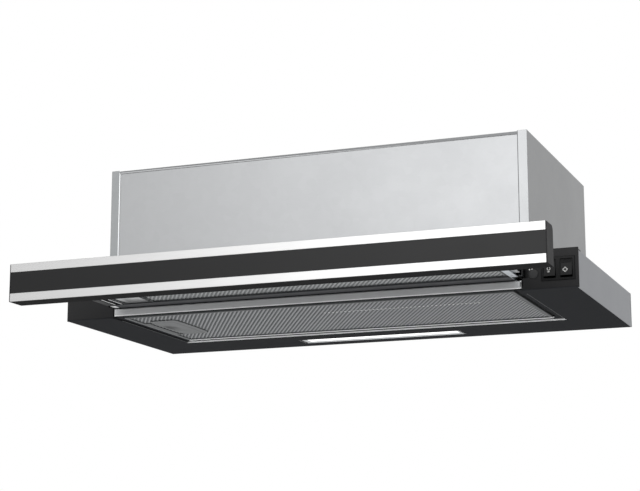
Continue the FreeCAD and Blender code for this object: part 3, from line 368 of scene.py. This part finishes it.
# a CAD node with its sharp edges broken, as bent sheet and moulded plastic have them
def softenNodes(look, own=None):
    for node in look["nodes"]:
        source = frame["nodes"][node]
        mesh = source.data.copy()
        work = bmesh.new()
        work.from_mesh(mesh)
        bmesh.ops.remove_doubles(work, verts=work.verts, dist=2e-6)
        bmesh.ops.dissolve_limit(work, angle_limit=np.radians(1.0), verts=work.verts, edges=work.edges)
        work.to_mesh(mesh)
        work.free()
        mesh.materials.clear()
        mesh.materials.append(own or finishes[nodeSlot[node]])
        piece = bpy.data.objects.new(node + ".soft", mesh)
        bpy.context.scene.collection.objects.link(piece)
        edge = piece.modifiers.new("broken edges", "BEVEL")
        edge.width = look["radiusMm"] * mm
        edge.segments = look["segments"]
        edge.limit_method = "ANGLE"
        edge.angle_limit = np.radians(35)
        edge.use_clamp_overlap = True
        rounded = look["segments"] > 2   # thin sheet stays faceted, moulded corners are shaded round
        mesh.polygons.foreach_set("use_smooth", np.full(len(mesh.polygons), rounded))
        if rounded:
            weighted = piece.modifiers.new("even shading", "WEIGHTED_NORMAL")
            weighted.mode = "FACE_AREA"
            weighted.weight = 90
        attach(piece, nodeBody[node])
        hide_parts(node)


# carried over nodes

for node, shown in frame["nodes"].items():
    shown.data.materials.clear()
    shown.data.materials.append(finishes[nodeSlot[node]])

sheetMetal = {"radiusMm": 0.15, "segments": 2,
              "nodes": ["upper_front_panel", "upper_right_panel", "top_panel", "rear_panel",
                        "underside_panel", "slot_header", "visor_right_side", "visor_top_sheet"]}
softenNodes(sheetMetal)
softenNodes({**sheetMetal, "nodes": ["left_wing", "right_wing"]}, wingSteel)
softenNodes({**sheetMetal, "nodes": ["upper_left_panel"]}, leftShadedSteel)
softenNodes({**sheetMetal, "nodes": ["slide_channels", "visor_left_side"]}, shadedZinc)
moulded = {"radiusMm": 0.5, "segments": 3,
           "nodes": ["left_front_block", "right_front_block", "bar_core", "lamp_housing", "terminal_lid",
                     "terminal_box", "switch_body"]}
softenNodes(moulded)
softenNodes({**moulded, "nodes": ["visor_rear_rail"]}, railBlack)
endCaps = {"radiusMm": 0.7, "segments": 4, "nodes": ["bar_left_cap", "bar_right_cap"]}
softenNodes(endCaps)
print("softened nodes ready")


# visor bar strips

barStrips = {"edgeMm": 0.35, "arcSteps": 3,
             "nodes": ["bar_upper_strip", "bar_lower_strip", "bar_black_panel"]}
for node in barStrips["nodes"]:
    low, high = nodeCorners(node)
    corners = sectionCorners(low, high)
    points, faces = carriedAlongX(roundedOutline(corners, barStrips["edgeMm"], barStrips["arcSteps"]),
                                  np.linspace(low[0], high[0], 9))
    piece = makePiece(node + ".strip", points, faces, nodeBody[node], finishes[nodeSlot[node]])
    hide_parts(node)
# a near-black sheet under the bar core, as painted shade on its underside
undersideShadeLook = {"pastEnds": 0.9, "pastFront": 1.2, "fromRear": 0.2, "halfThick": 0.05, "roundMm": 0.04}
low, high = nodeCorners("bar_core")
stripPiece("bar_core.underside_shade",
           (low[0] - undersideShadeLook["pastEnds"], low[1] - undersideShadeLook["pastFront"], low[2] - undersideShadeLook["halfThick"]),
           (high[0] + undersideShadeLook["pastEnds"], high[1] - undersideShadeLook["fromRear"], low[2] + undersideShadeLook["halfThick"]),
           "visor", shadeBlack, undersideShadeLook["roundMm"])
print("bar strips ready")


# painted highlight and painted shadow lines along the sheet metal edges

seamLook = {"flangeX": 238.0, "edgeMm": 0.8, "frontY": -134.5, "faceY": -133.7, "proudMm": 0.1, "z": (2.6, 134.4),
            "wingX": (298.9, 299.15), "wingZ": (-39.9, -0.1), "rearY": 137.4, "seamMm": 1.2, "roundMm": 0.05}
# left flange edge: near-white strip as painted highlight; right one: dark grey strip as painted shadow
for side, name, material in ((-1, "upper_left_panel.edge_highlight", highlightWhite),
                             (1, "upper_right_panel.edge_shadow", shadowLineGrey)):
    x = sorted((side * seamLook["flangeX"], side * (seamLook["flangeX"] - seamLook["edgeMm"])))
    front = seamLook["frontY"] if side < 0 else seamLook["faceY"] - seamLook["proudMm"]
    stripPiece(name, (x[0], front, seamLook["z"][0]), (x[1], seamLook["faceY"], seamLook["z"][1]), "housing",
               material, seamLook["roundMm"])
# dark grey strips as painted shadow along the wings' rear edges
for side, name in ((-1, "left_wing.rear_shadow_line"), (1, "right_wing.rear_shadow_line")):
    x = sorted(side * reach for reach in seamLook["wingX"])
    stripPiece(name, (x[0], seamLook["rearY"] - seamLook["seamMm"], seamLook["wingZ"][0]),
               (x[1], seamLook["rearY"], seamLook["wingZ"][1]), "housing", shadowLineGrey,
               seamLook["roundMm"])
# the lip band is drawn taller towards the right and darker than the front panel, as painted shade
bandLook = {"halfX": 237.9, "y": (-134.62, -134.45), "topMm": 133.48, "leftMm": 1.1, "rightMm": 3.0,
            "columns": 9}
count = bandLook["columns"]
xs = np.linspace(-bandLook["halfX"], bandLook["halfX"], count)   # height grows in a straight line from left to right
foot = bandLook["topMm"] - np.interp(xs, (xs[0], xs[-1]), (bandLook["leftMm"], bandLook["rightMm"]))
front, back = [np.full(count, y) for y in bandLook["y"]]
top = np.full(count, bandLook["topMm"])
points = np.stack([np.c_[xs, front, foot], np.c_[xs, back, foot], np.c_[xs, back, top], np.c_[xs, front, top]], 1)
lastRing = 4 * (count - 1)
faces = gridFaces(count, 4, wrapColumns=True) + [[3, 2, 1, 0], [lastRing + k for k in range(4)]]
makePiece("top_panel.folded_lip", points, faces, "housing", lipShadeSteel)
print("seams ready")


# crossbar

crossbarLook = {"stockMm": 0.8, "foldMm": 1.5, "arcSteps": 5, "halfLongMm": 238.6,
                "hem": {"deepMm": 0.4, "highMm": 0.9, "roundMm": 0.2},
                "shadowStrip": {"frontMm": 0.6, "rearMm": 0.05, "belowMm": 0.12, "intoMm": 0.05, "roundMm": 0.05},
                "lip": {"insideMm": 0.9, "outsideMm": 0.1, "deepMm": 0.5, "insetMm": 0.3, "roundMm": 0.08}}


# open C section: outer outline rounded at both folds, inner one a stock thickness inside
def foldedChannel(low, high, stock, fold, steps):
    outer = roundedOutline([(high[1], low[2]), (low[1], low[2]), (low[1], high[2]), (high[1], high[2])], fold, steps)
    ring = outer.reshape(4, steps + 1, 2)
    outerPath = np.vstack([[high[1], low[2]], ring[1], ring[2], [high[1], high[2]]])
    innerRing = roundedOutline([(high[1], low[2] + stock), (low[1] + stock, low[2] + stock),
                                (low[1] + stock, high[2] - stock), (high[1], high[2] - stock)],
                               max(fold - stock, 0.1), steps).reshape(4, steps + 1, 2)
    innerPath = np.vstack([[high[1], low[2] + stock], innerRing[1], innerRing[2], [high[1], high[2] - stock]])
    return np.vstack([outerPath, innerPath[::-1]])


low, high = nodeCorners("crossbar")
section = foldedChannel(low, high, crossbarLook["stockMm"], crossbarLook["foldMm"], crossbarLook["arcSteps"])
points, faces = carriedAlongX(section, np.linspace(-crossbarLook["halfLongMm"], crossbarLook["halfLongMm"], 13))
piece = makePiece("crossbar.folded", points, faces, "housing", finishes["crossbar_steel"])
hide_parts("crossbar")
halfLong = crossbarLook["halfLongMm"]
hem, shadowStrip, lip = [crossbarLook[part] for part in ("hem", "shadowStrip", "lip")]
# the hem and the end lip are near-white strips as painted highlight
stripPiece("crossbar.hem", (-halfLong, low[1], low[2]), (halfLong, low[1] + hem["deepMm"], low[2] + hem["highMm"]),
           "housing", highlightWhite, hem["roundMm"])
# a near-black strip under the crossbar, as painted shadow between it and the filter
stripPiece("crossbar.seal", (-halfLong, low[1] + shadowStrip["frontMm"], low[2] - shadowStrip["belowMm"]),
           (halfLong, high[1] - shadowStrip["rearMm"], low[2] + shadowStrip["intoMm"]), "housing", shadeBlack,
           shadowStrip["roundMm"])
stripPiece("crossbar.end_lip", (halfLong - lip["insideMm"], low[1], low[2] + lip["insetMm"]),
           (halfLong + lip["outsideMm"], low[1] + lip["deepMm"], high[2] - lip["insetMm"]), "housing",
           highlightWhite, lip["roundMm"])
print("crossbar ready")


# grease filters

filterLook = {"pitchXMm": 5.04, "pitchYMm": 8.7, "strandMm": 1.9, "crossStrandMm": 0.7, "thickMm": 0.35, "tilt": 0.3,
              "leafUpMm": 0.35, "padGapMm": 1.0}


# zigzag strands: x goes to and fro by a quarter pitch as a triangle wave of y, and each run is tipped about its
# own line
def expandedMesh(x0, x1, y0, y1, z, look):
    half = look["pitchXMm"] / 2
    centres = np.arange(x0 + half / 2, x1 - half / 4, half)
    turns = int((y1 - y0) / (look["pitchYMm"] / 2))
    ys = y0 + np.arange(turns + 1) * (y1 - y0) / turns
    side = np.where(np.arange(turns + 1) % 2 == 0, 1.0, -1.0)
    flip = np.where(np.arange(len(centres)) % 2 == 0, 1.0, -1.0)
    x = centres[:, None] + flip[:, None] * side[None] * half / 2
    x = np.clip(x, x0, x1)
    # every straight run has its own four sided section, so that its tip angle is constant along it
    startX, endX = x[:, :-1], x[:, 1:]
    startY = np.broadcast_to(ys[:-1], startX.shape)
    endY = np.broadcast_to(ys[1:], startX.shape)
    dx, dy = endX - startX, endY - startY
    length = np.hypot(dx, dy)
    acrossX, acrossY = dy / length, -dx / length
    lean = (np.sign(dx) * look["tilt"])[..., None]
    halfWide = np.where(dx < 0, look["strandMm"], look["crossStrandMm"])[..., None] / 2
    across = halfWide * np.array([-1, 1, 1, -1])
    through = look["thickMm"] / 2 * np.array([-1, -1, 1, 1])
    flatU = across * np.cos(lean) - through * np.sin(lean)
    flatZ = across * np.sin(lean) + through * np.cos(lean)
    points = np.empty((*startX.shape, 2, 4, 3))
    for end, (px, py) in enumerate(((startX, startY), (endX, endY))):
        points[:, :, end, :, 0] = px[..., None] + flatU * acrossX[..., None]
        points[:, :, end, :, 1] = py[..., None] + flatU * acrossY[..., None]
        points[:, :, end, :, 2] = z + flatZ
    count = startX.size
    base = np.arange(count)[:, None, None] * 8
    box = np.array([(0, 1, 5, 4), (1, 2, 6, 5), (2, 3, 7, 6), (3, 0, 4, 7)])
    faces = (base + box[None]).reshape(-1, 4)
    return points.reshape(-1, 3), faces


def keepOutside(points, faces, size, notch):   # drops whole strand runs whose middle lies in the notch
    middle = points.reshape(-1, size, 3).mean(1)
    inside = ((middle[:, 0] > notch[0]) & (middle[:, 0] < notch[1])
              & (middle[:, 1] > notch[2]) & (middle[:, 1] < notch[3]))
    perRun = len(faces) // len(middle)
    keepRun = ~inside
    kept = points.reshape(-1, size, 3)[keepRun].reshape(-1, 3)
    runFaces = faces.reshape(len(middle), perRun, 4)
    local = runFaces[0] - runFaces[0].min()
    order = np.arange(keepRun.sum())[:, None, None] * size
    return kept, (order + local[None]).reshape(-1, 4)


def slabAround(x0, x1, y0, y1, z0, z1, notch):   # plate with the latch pocket's notch cut from its left side
    outline = np.array([(x0, y0), (x1, y0), (x1, y1), (x0, y1), (x0, notch[3]), (notch[1], notch[3]),
                        (notch[1], notch[2]), (x0, notch[2])])
    ring = len(outline)
    points = np.vstack([np.c_[outline, np.full(ring, z0)], np.c_[outline, np.full(ring, z1)]])
    faces = [[k, (k + 1) % ring, ring + (k + 1) % ring, ring + k] for k in range(ring)]
    return points, faces + [list(range(ring))[::-1], list(range(ring, 2 * ring))]


pocketLook = {"lower": {"pad": (-226.0, -187.0, -87.0, -3.0), "leaf": (-215.0, -184.0, -97.0, -5.0)},
              "visor": {"pad": (-228.0, -180.0, -214.5, -154.5), "leaf": (-232.0, -181.0, -190.0, -150.0)}}


def dressFilter(kind, body):
    low, high = nodeCorners(kind + "_filter_mesh")
    notch = pocketLook[kind]["pad"]
    leaf = low[2] + filterLook["leafUpMm"]
    points, faces = expandedMesh(low[0], high[0], low[1], high[1], leaf, filterLook)
    points, faces = keepOutside(points, faces, 8, pocketLook[kind]["leaf"])
    first = makePiece(kind + "_filter_mesh.leaf", points, faces.tolist(), body,
                      leafLitAndShadedTone[kind], recalc=False)
    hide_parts(kind + "_filter_mesh")
    points, faces = slabAround(low[0], high[0], low[1], high[1], low[2] + filterLook["padGapMm"], high[2], notch)
    makePiece(kind + "_filter_mesh.pad", points, faces, body, padDark)


dressFilter("lower", nodeBody["lower_filter_mesh"])
dressFilter("visor", nodeBody["visor_filter_mesh"])

hemLook = {"radiusMm": 0.55, "sides": 10}


# round section carried along a flat path, mitred at its corners: ring = point + radius (cos t across + sin t up),
# across stretched by 1 / cos of half the turn
def hemAlong(path, look, closed):
    path = np.asarray(path, float)
    ahead = np.roll(path, -1, 0) - path
    behind = path - np.roll(path, 1, 0)
    if not closed:
        ahead[-1], behind[0] = behind[-1], ahead[0]
    ahead /= np.linalg.norm(ahead, axis=1)[:, None]
    behind /= np.linalg.norm(behind, axis=1)[:, None]
    middle = ahead + behind
    middle /= np.linalg.norm(middle, axis=1)[:, None]
    stretch = 1 / np.sum(middle * ahead, 1)
    across = np.c_[middle[:, 1], -middle[:, 0], np.zeros(len(path))] * stretch[:, None]
    angle = np.linspace(0, 2 * np.pi, look["sides"], endpoint=False)
    ring = np.cos(angle)[None, :, None] * across[:, None] + np.sin(angle)[None, :, None] * np.array([0, 0, 1.0])
    points = path[:, None] + look["radiusMm"] * ring
    faces = gridFaces(len(path), look["sides"], wrapRows=closed, wrapColumns=True)
    if not closed:
        first = list(range(look["sides"]))
        faces += [first[::-1], [(len(path) - 1) * look["sides"] + k for k in first]]
    return points, faces


def edgeStrip(x0, x1, y, z0, z1, thick):   # thin upright strip along x with a rounded lower edge
    corners = [(y, z0), (y + thick, z0), (y + thick, z1), (y, z1)]
    return carriedAlongX(roundedOutline(corners, thick * 0.35, 2), np.linspace(x0, x1, 5))


undersideZ = -40.0
ledgeLook = {"x": 239.9, "y": 58.4, "highMm": 1.7, "thickMm": 0.5, "frontY": -117.0,
             "lipX": 229.5, "lipY": 41.6, "lipZ": (-39.98, -38.0), "lipThickMm": 0.6}
# the rear hem and the ledge lip are near-white strips as painted highlight
points, faces = edgeStrip(-ledgeLook["x"], ledgeLook["x"], ledgeLook["y"] - ledgeLook["thickMm"], undersideZ,
                          undersideZ + ledgeLook["highMm"], ledgeLook["thickMm"])
makePiece("underside_panel.rear_hem", points, faces, "housing", highlightWhite)
points, faces = edgeStrip(-ledgeLook["lipX"], ledgeLook["lipX"], ledgeLook["lipY"], *ledgeLook["lipZ"],
                          ledgeLook["lipThickMm"])
makePiece("underside_panel.ledge_lip", points, faces, "housing", highlightWhite)
r = hemLook["radiusMm"]
sideHem = {"radiusMm": 0.4, "sides": 8}
for side, name in ((-1, "left"), (1, "right")):
    x = side * (ledgeLook["x"] - r)
    path = [(x, ledgeLook["frontY"], undersideZ + r), (x, ledgeLook["y"], undersideZ + r)]
    points, faces = hemAlong(path, sideHem, closed=False)
    makePiece("underside_panel.side_hem_" + name, points, faces, "housing", shadedFrameGrey)
rimLook = {"visorHalfX": 231.0, "endMm": 1, "lipInMm": 0.8, "lipBelowMm": 0.1, "lipHighMm": 1.2, "lipThickMm": 0.8,
           "beadUpMm": 0.25, "bead": {"radiusMm": 0.5, "sides": 8}}
end = rimLook["endMm"]
# the lower rim's lip is near-white as painted highlight, the visor's is plain filter aluminium
for kind, lipLook in (("lower", highlightWhite), ("visor", finishes["filter_aluminium"])):
    node = kind + "_filter_frame"
    low, high = nodeCorners(node)
    halfX = -low[0] if kind == "lower" else rimLook["visorHalfX"]
    points, faces = edgeStrip(-halfX + end, halfX - end, high[1] - rimLook["lipInMm"], low[2] - rimLook["lipBelowMm"],
                              low[2] + rimLook["lipHighMm"], rimLook["lipThickMm"])
    makePiece(node + ".rear_lip", points, faces, nodeBody[node], lipLook)
    beadZ = low[2] + rimLook["beadUpMm"]
    points, faces = hemAlong([(-halfX + r, low[1] + end, beadZ), (-halfX + r, high[1] - end, beadZ)], rimLook["bead"],
                             closed=False)
    makePiece(node + ".left_bead", points, faces, nodeBody[node], finishes["filter_aluminium"])

bondRow = {"y": -81.0, "x0": -3.0, "x1": 180.0, "pitchMm": 4.85, "longMm": 2.9, "wideMm": 2.8,
           "halfHighMm": 0.3, "belowLeafMm": 0.35}


def bonds(look, z):   # small lozenges in a row: four tips about a centre, with a peak above and below
    centres = np.arange(look["x0"], look["x1"], look["pitchMm"])
    tips = np.array([(-look["longMm"] / 2, 0, 0), (0, -look["wideMm"] / 2, 0), (look["longMm"] / 2, 0, 0),
                     (0, look["wideMm"] / 2, 0), (0, 0, -look["halfHighMm"]), (0, 0, look["halfHighMm"])])
    points = tips[None] + np.c_[centres, np.full(len(centres), look["y"]), np.full(len(centres), z)][:, None]
    local = np.array([(0, 1, 4), (1, 2, 4), (2, 3, 4), (3, 0, 4), (1, 0, 5), (2, 1, 5), (3, 2, 5), (0, 3, 5)])
    faces = (np.arange(len(centres))[:, None, None] * 6 + local[None]).reshape(-1, 3)
    return points, faces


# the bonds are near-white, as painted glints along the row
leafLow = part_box("lower_filter_mesh")[0][2] / mm
points, faces = bonds(bondRow, leafLow - bondRow["belowLeafMm"])
makePiece("lower_filter_mesh.bonds", points, faces.tolist(), "housing", highlightWhite)
softenNodes({"radiusMm": 0.5, "segments": 2, "nodes": ["lower_filter_frame", "visor_filter_frame"]}, shadedFrameGrey)
print("filters ready")


# latches

# plate, tongue and stem are x, y and z from low to high; hollow is left, right, front and back as shares of the plate
# paintedShading: tone is painted light from the front to the back, hollowShade is painted shade in the finger hollow
fingerPlates = {
    "lower": {"x": (-215.6, -179.6), "y": (-99.0, -4.0), "z": (-39.55, -39.05),
              "hollow": (0.06, 0.68, 0.36, 0.74), "deepMm": 1.7,
              "plate": (-219.8, -197.3, -85.2, -4.8, -36.5, -35.1),
              "tongue": (-236.0, -219.0, -53.0, -37.0, -36.5, -35.1),
              "stem": (-200.5, -198.0, -20.0, -8.0, -39.2, -36.3),
              "paintedShading": {"colour": "#626465", "metallic": 0.0, "roughness": 0.55, "y": (-99, -4), "tone": (1.0, 0.98),
                       "hollowAt": (-208.5, -52.0, -38.8), "hollowMm": (10.0, 24.0, 30.0), "hollowShade": 0.28}},
    "visor": {"x": (-214.0, -184.8), "y": (-189.0, -155.6), "z": (-26.65, -26.15),
              "hollow": (0.2, 0.75, 0.3, 0.9), "deepMm": 1.1,
              "plate": (-216.8, -184.8, -189.0, -156.3, -25.7, -24.3),
              "tongue": (-232.4, -216.0, -192.5, -176.5, -25.7, -24.3),
              "stem": (-187.5, -185.5, -186.0, -160.0, -26.4, -25.5),
              "paintedShading": {"colour": "#B8BABB", "metallic": 0.6, "roughness": 0.4, "y": (-186, -157), "tone": (1.15, 0.25),
                       "hollowAt": (-203.0, -178.0, -26.5), "hollowMm": (6.0, 5.0, 30.0), "hollowShade": 0.5}}}


# rounded sheet with a finger pull: height rises by depth times a steep left wall times a straight ramp to the
# right times a smooth bell from front to back
def fingerPlate(look, columns=41, rows=49):
    a, b = np.meshgrid(np.linspace(0, 1, columns), np.linspace(0, 1, rows), indexing="ij")
    left, right, front, back = look["hollow"]
    wall = np.clip((a - left) / 0.05, 0, 1)
    ramp = np.clip((right - a) / (right - left), 0, 1)
    bell = np.sin(np.pi * np.clip((b - front) / (back - front), 0, 1)) ** 0.8
    rise = look["deepMm"] * wall * ramp * bell
    # corners drawn in: the sheet's x is squeezed towards its middle near the front and back ends
    squeeze = 1 - 0.16 * np.abs(2 * b - 1) ** 5
    x = look["x"][0] + (0.5 + (a - 0.5) * squeeze) * (look["x"][1] - look["x"][0])
    y = look["y"][0] + b * (look["y"][1] - look["y"][0])
    points = np.stack([np.stack([x, y, look["z"][0] + rise], -1), np.stack([x, y, look["z"][1] + rise], -1)])
    n = a.size
    faces = gridFaces(columns, rows)
    faces = faces + (np.array(faces)[:, ::-1] + n).tolist()
    index = np.arange(n).reshape(a.shape)
    rim = np.concatenate([index[:, 0], index[-1, 1:], index[-2::-1, -1], index[0, -2:0:-1]])
    after = np.roll(rim, -1)
    return points, faces + np.stack([rim, after, after + n, rim + n], 1).tolist()


for kind, look in fingerPlates.items():
    node = kind + "_filter_latch"
    points, faces = fingerPlate(look)
    piece = makePiece(node + ".finger_plate", points, faces, nodeBody[node],
                      shadedPlate("%s latch enamel, rubbed" % kind, look["paintedShading"]))
    piece.data.polygons.foreach_set("use_smooth", np.ones(len(piece.data.polygons), bool))
    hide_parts(node)
    for part in ("plate", "tongue", "stem"):
        x0, x1, y0, y1, z0, z1 = look[part]
        stripPiece(node + "." + part, (x0, y0, z0), (x1, y1, z1), nodeBody[node],
                   finishes["latch_metal"], 0.3)
ribLook = {"xs": (-230.8, -222.0), "wideMm": 1.1, "y": (-192.0, -150.0), "z": (-27.1, -26.7), "roundMm": 0.05}
stripPiece("visor_filter_frame.left_shade", (-230.6, ribLook["y"][0], -26.8), (-219.2, ribLook["y"][1], -26.3),
           "visor", shadeBlack, ribLook["roundMm"])
# the ribs are near-white, as painted highlight lines
for x in ribLook["xs"]:
    stripPiece("visor_filter_frame.rib_%d" % -x, (x, ribLook["y"][0], ribLook["z"][0]),
               (x + ribLook["wideMm"], ribLook["y"][1], ribLook["z"][1]), "visor", highlightWhite,
               ribLook["roundMm"])
paintedHighlightSpots = {   # painted highlights on the undersides of the right slide and of the left side's shoe
    "right_slide_member.underside": ((232.6, -170.0, -20.15), (237.3, -137.0, -19.95), "slide_zinc"),
    "visor_left_side.shoe": ((-237.5, -149.5, -28.1), (-231.5, -139.0, -27.9), "visor_steel")}
for name, (low, high, slot) in paintedHighlightSpots.items():
    stripPiece(name, low, high, "visor", highlightWhite, ribLook["roundMm"])
print("latches ready")


# switches

softenNodes({"radiusMm": 0.35, "segments": 3, "nodes": ["light_rocker", "fan_rocker"]})
softenNodes({"radiusMm": 0.25, "segments": 2, "nodes": ["switch_bezel"]})
softenNodes({"radiusMm": 0.4, "segments": 3, "nodes": ["indicator"]}, smokedLens)


def frontOf(node):   # for x and z, the y of the first surface met from the front
    mesh = frame["nodes"][node].data
    mesh.calc_loop_triangles()
    tree = BVHTree.FromPolygons([v.co.copy() for v in mesh.vertices],
                                [tuple(t.vertices) for t in mesh.loop_triangles])
    edge = min(v.co.y for v in mesh.vertices) / mm

    def surface(x, z):
        hit = tree.ray_cast(Vector((x * mm, -1.0, z * mm)), Vector((0, 1, 0)))[0]
        return hit.y / mm if hit else edge
    return surface


# closed stroke lying on a node's front: two loops either side of the line, each set on the surface, with a back a
# little inside it
def printedStroke(name, node, loop, wideMm, body, material):
    loop = np.asarray(loop, float)
    along = np.roll(loop, -1, 0) - np.roll(loop, 1, 0)
    along /= np.linalg.norm(along, axis=1)[:, None]
    across = np.c_[along[:, 1], -along[:, 0]]
    front = frontOf(node)
    rings = []
    for sideways, lift in ((0.5, -0.12), (-0.5, -0.12), (-0.5, 0.2), (0.5, 0.2)):
        flat = loop + across * wideMm * sideways
        rings.append([(x, front(x, z) + lift, z) for x, z in flat])
    points = np.array(rings)
    faces = gridFaces(4, len(loop), wrapRows=True, wrapColumns=True)
    return makePiece(name, points, faces, body, material)


# circle whose radius swells and shrinks: radius plus wave times cos of lobes times the angle
def wavyLoop(centre, radius, wave, lobes, steps=48):
    angle = np.linspace(0, 2 * np.pi, steps, endpoint=False)
    reach = radius + wave * np.cos(lobes * angle)
    return np.c_[centre[0] + reach * np.cos(angle), centre[1] + reach * np.sin(angle)]


iconLook = {"strokeMm": 0.6, "lampAt": (268.6, -18.9), "lampMm": 1.6, "footAt": (268.5, -22.3), "footMm": (1.1, 0.25),
            "fanAt": (286.1, -20.8), "fanMm": 2.0, "fanWave": 0.4, "dots": ((248.0, -18.3), (250.7, -17.8)),
            "dotMm": 0.4}
printedStroke("light_rocker.lamp_mark", "light_rocker", wavyLoop(iconLook["lampAt"], iconLook["lampMm"], 0, 0),
              iconLook["strokeMm"], "light_switch", printWhite)
foot = wavyLoop((0, 0), 1.0, 0, 0, 16) * iconLook["footMm"] + iconLook["footAt"]
printedStroke("light_rocker.lamp_foot", "light_rocker", foot, 0.5, "light_switch", printWhite)
printedStroke("fan_rocker.fan_mark", "fan_rocker",
              wavyLoop(iconLook["fanAt"], iconLook["fanMm"], iconLook["fanWave"], 4), iconLook["strokeMm"],
              "fan_switch", printWhite)
for k, dot in enumerate(iconLook["dots"]):
    printedStroke("right_front_block.dot_%d" % (k + 1), "right_front_block",
                  wavyLoop(dot, iconLook["dotMm"], 0.1, 3, 18), 0.7, "housing", printWhite)
# near-black lines across the top of each rocker, as painted shade on the rocker head
headShadeLines = {"zs": (-10.4, -11.7, -13.0), "halfMm": 5.4, "wideMm": 0.35}
for node, middle in (("light_rocker", 269.4), ("fan_rocker", 287.2)):
    for k, z in enumerate(headShadeLines["zs"]):
        along = np.linspace(-1, 1, 13) * headShadeLines["halfMm"] + middle
        loop = np.vstack([np.c_[along, np.full(13, z)], np.c_[along[::-1], np.full(13, z - 0.3)]])
        printedStroke("%s.grip_%d" % (node, k + 1), node, loop, headShadeLines["wideMm"], nodeBody[node], shadeBlack)
print("switches ready")


# light

lensLook = {"edgeMm": 0.5, "arcSteps": 3}
low, high = nodeCorners("lamp_lens")
corners = sectionCorners(low, high)
points, faces = carriedAlongX(roundedOutline(corners, lensLook["edgeMm"], lensLook["arcSteps"]),
                              np.linspace(low[0], high[0], 7))
piece = makePiece("lamp_lens.diffuser", points, faces, "housing", finishes["lens"])
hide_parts("lamp_lens")
funnelLook = {"innerX": 96.1, "innerY": 10.1, "outerX": 103.6, "outerY": 12.2, "rimZ": -39.98, "upMm": 0.1}


# sloped frame between an inner and an outer rectangle, closed behind by the same frame a hair higher
def funnel(centreY, zIn, zOut, look):
    corner = np.array([(-1, -1), (1, -1), (1, 1), (-1, 1)], float)
    inner = np.c_[corner * (look["innerX"], look["innerY"]) + (0, centreY), np.full(4, zIn)]
    outer = np.c_[corner * (look["outerX"], look["outerY"]) + (0, centreY), np.full(4, zOut)]
    rings = np.stack([inner, outer, outer + (0, 0, 0.05), inner + (0, 0, 0.4)])
    return rings, gridFaces(4, 4, wrapRows=True, wrapColumns=True)


points, faces = funnel((low[1] + high[1]) / 2, low[2] + funnelLook["upMm"], funnelLook["rimZ"], funnelLook)
recessGrey = mouldedPlastic("grey ABS, lamp recess",
    {"colour": "#C4C6C8", "roughness": 0.55, "specular": 0.3, "wear": 0.04, "pebbleMm": 0.8, "bumpMm": 0.02})
makePiece("lamp_housing.recess", points, faces, "housing", recessGrey)
print("lamp lens ready")


# camera, light and floor

cameraLook = {"place": (0.69217, -1.87384, -0.36984), "turn": (101.978, 0.0, 21.356), "lens": 97.72}
cameraData = bpy.data.cameras.new("camera")
cameraData.lens = cameraLook["lens"]
cameraData.sensor_width = 36.0
camera = bpy.data.objects.new("camera", cameraData)
camera.location = cameraLook["place"]
camera.rotation_euler = [np.radians(angle) for angle in cameraLook["turn"]]
bpy.context.scene.collection.objects.link(camera)
bpy.context.scene.camera = camera

world = bpy.data.worlds.new("white studio")
bpy.context.scene.world = world
world.use_nodes = True
tree = world.node_tree
tree.nodes.clear()
worldLook = {"seen": 1.0, "diffuse": 0.75}
path = addNode(tree, "ShaderNodeLightPath")
seen = addNode(tree, "ShaderNodeMath", {"operation": "MAXIMUM"},
               {0: path.outputs["Is Camera Ray"], 1: path.outputs["Is Glossy Ray"]})
seen = addNode(tree, "ShaderNodeMath", {"operation": "MAXIMUM"},
               {0: seen.outputs[0], 1: path.outputs["Is Transmission Ray"]})
level = spread(tree, seen.outputs[0], worldLook["diffuse"], worldLook["seen"])
sky = addNode(tree, "ShaderNodeBackground", {}, {"Color": (1, 1, 1, 1), "Strength": level})
addNode(tree, "ShaderNodeOutputWorld", {}, {"Surface": sky.outputs["Background"]})

lampLooks = {
    "soft front lamp": {"place": (-0.1, -4.1, 1.3), "wide": 3.1, "tall": 2.8, "power": 108.0},
    "soft left lamp": {"place": (-2.75, -3.9, 1.3), "wide": 2.2, "tall": 2.8, "power": 12.0}}
lampAim = Vector((0.0, -0.15, 0.05))
for name, look in lampLooks.items():
    lampData = bpy.data.lights.new(name, "AREA")
    lampData.shape = "RECTANGLE"
    lampData.size, lampData.size_y = look["wide"], look["tall"]
    lampData.energy = look["power"]
    lamp = bpy.data.objects.new(name, lampData)
    lamp.location = look["place"]
    lamp.rotation_mode = "QUATERNION"
    lamp.rotation_quaternion = (lampAim - Vector(look["place"])).to_track_quat("-Z", "Y")
    bpy.context.scene.collection.objects.link(lamp)

floorLook = {"height": -0.75, "half": 6.0}
half, height = floorLook["half"], floorLook["height"]
floorMesh = bpy.data.meshes.new("floor")
floorMesh.from_pydata([(-half, -half, height), (half, -half, height), (half, half, height), (-half, half, height)], [],
                      [(0, 1, 2, 3)])
floor = bpy.data.objects.new("floor", floorMesh)
bpy.context.scene.collection.objects.link(floor)
floorMesh.materials.append(powderCoat("pale studio floor",
    {"colour": "#F2F2F2", "roughness": 0.9, "specular": 0.1, "drift": 0.01, "peelMm": 40, "bumpMm": 0.01}))

bpy.context.scene.view_settings.view_transform = "Standard"
print("camera and light ready")
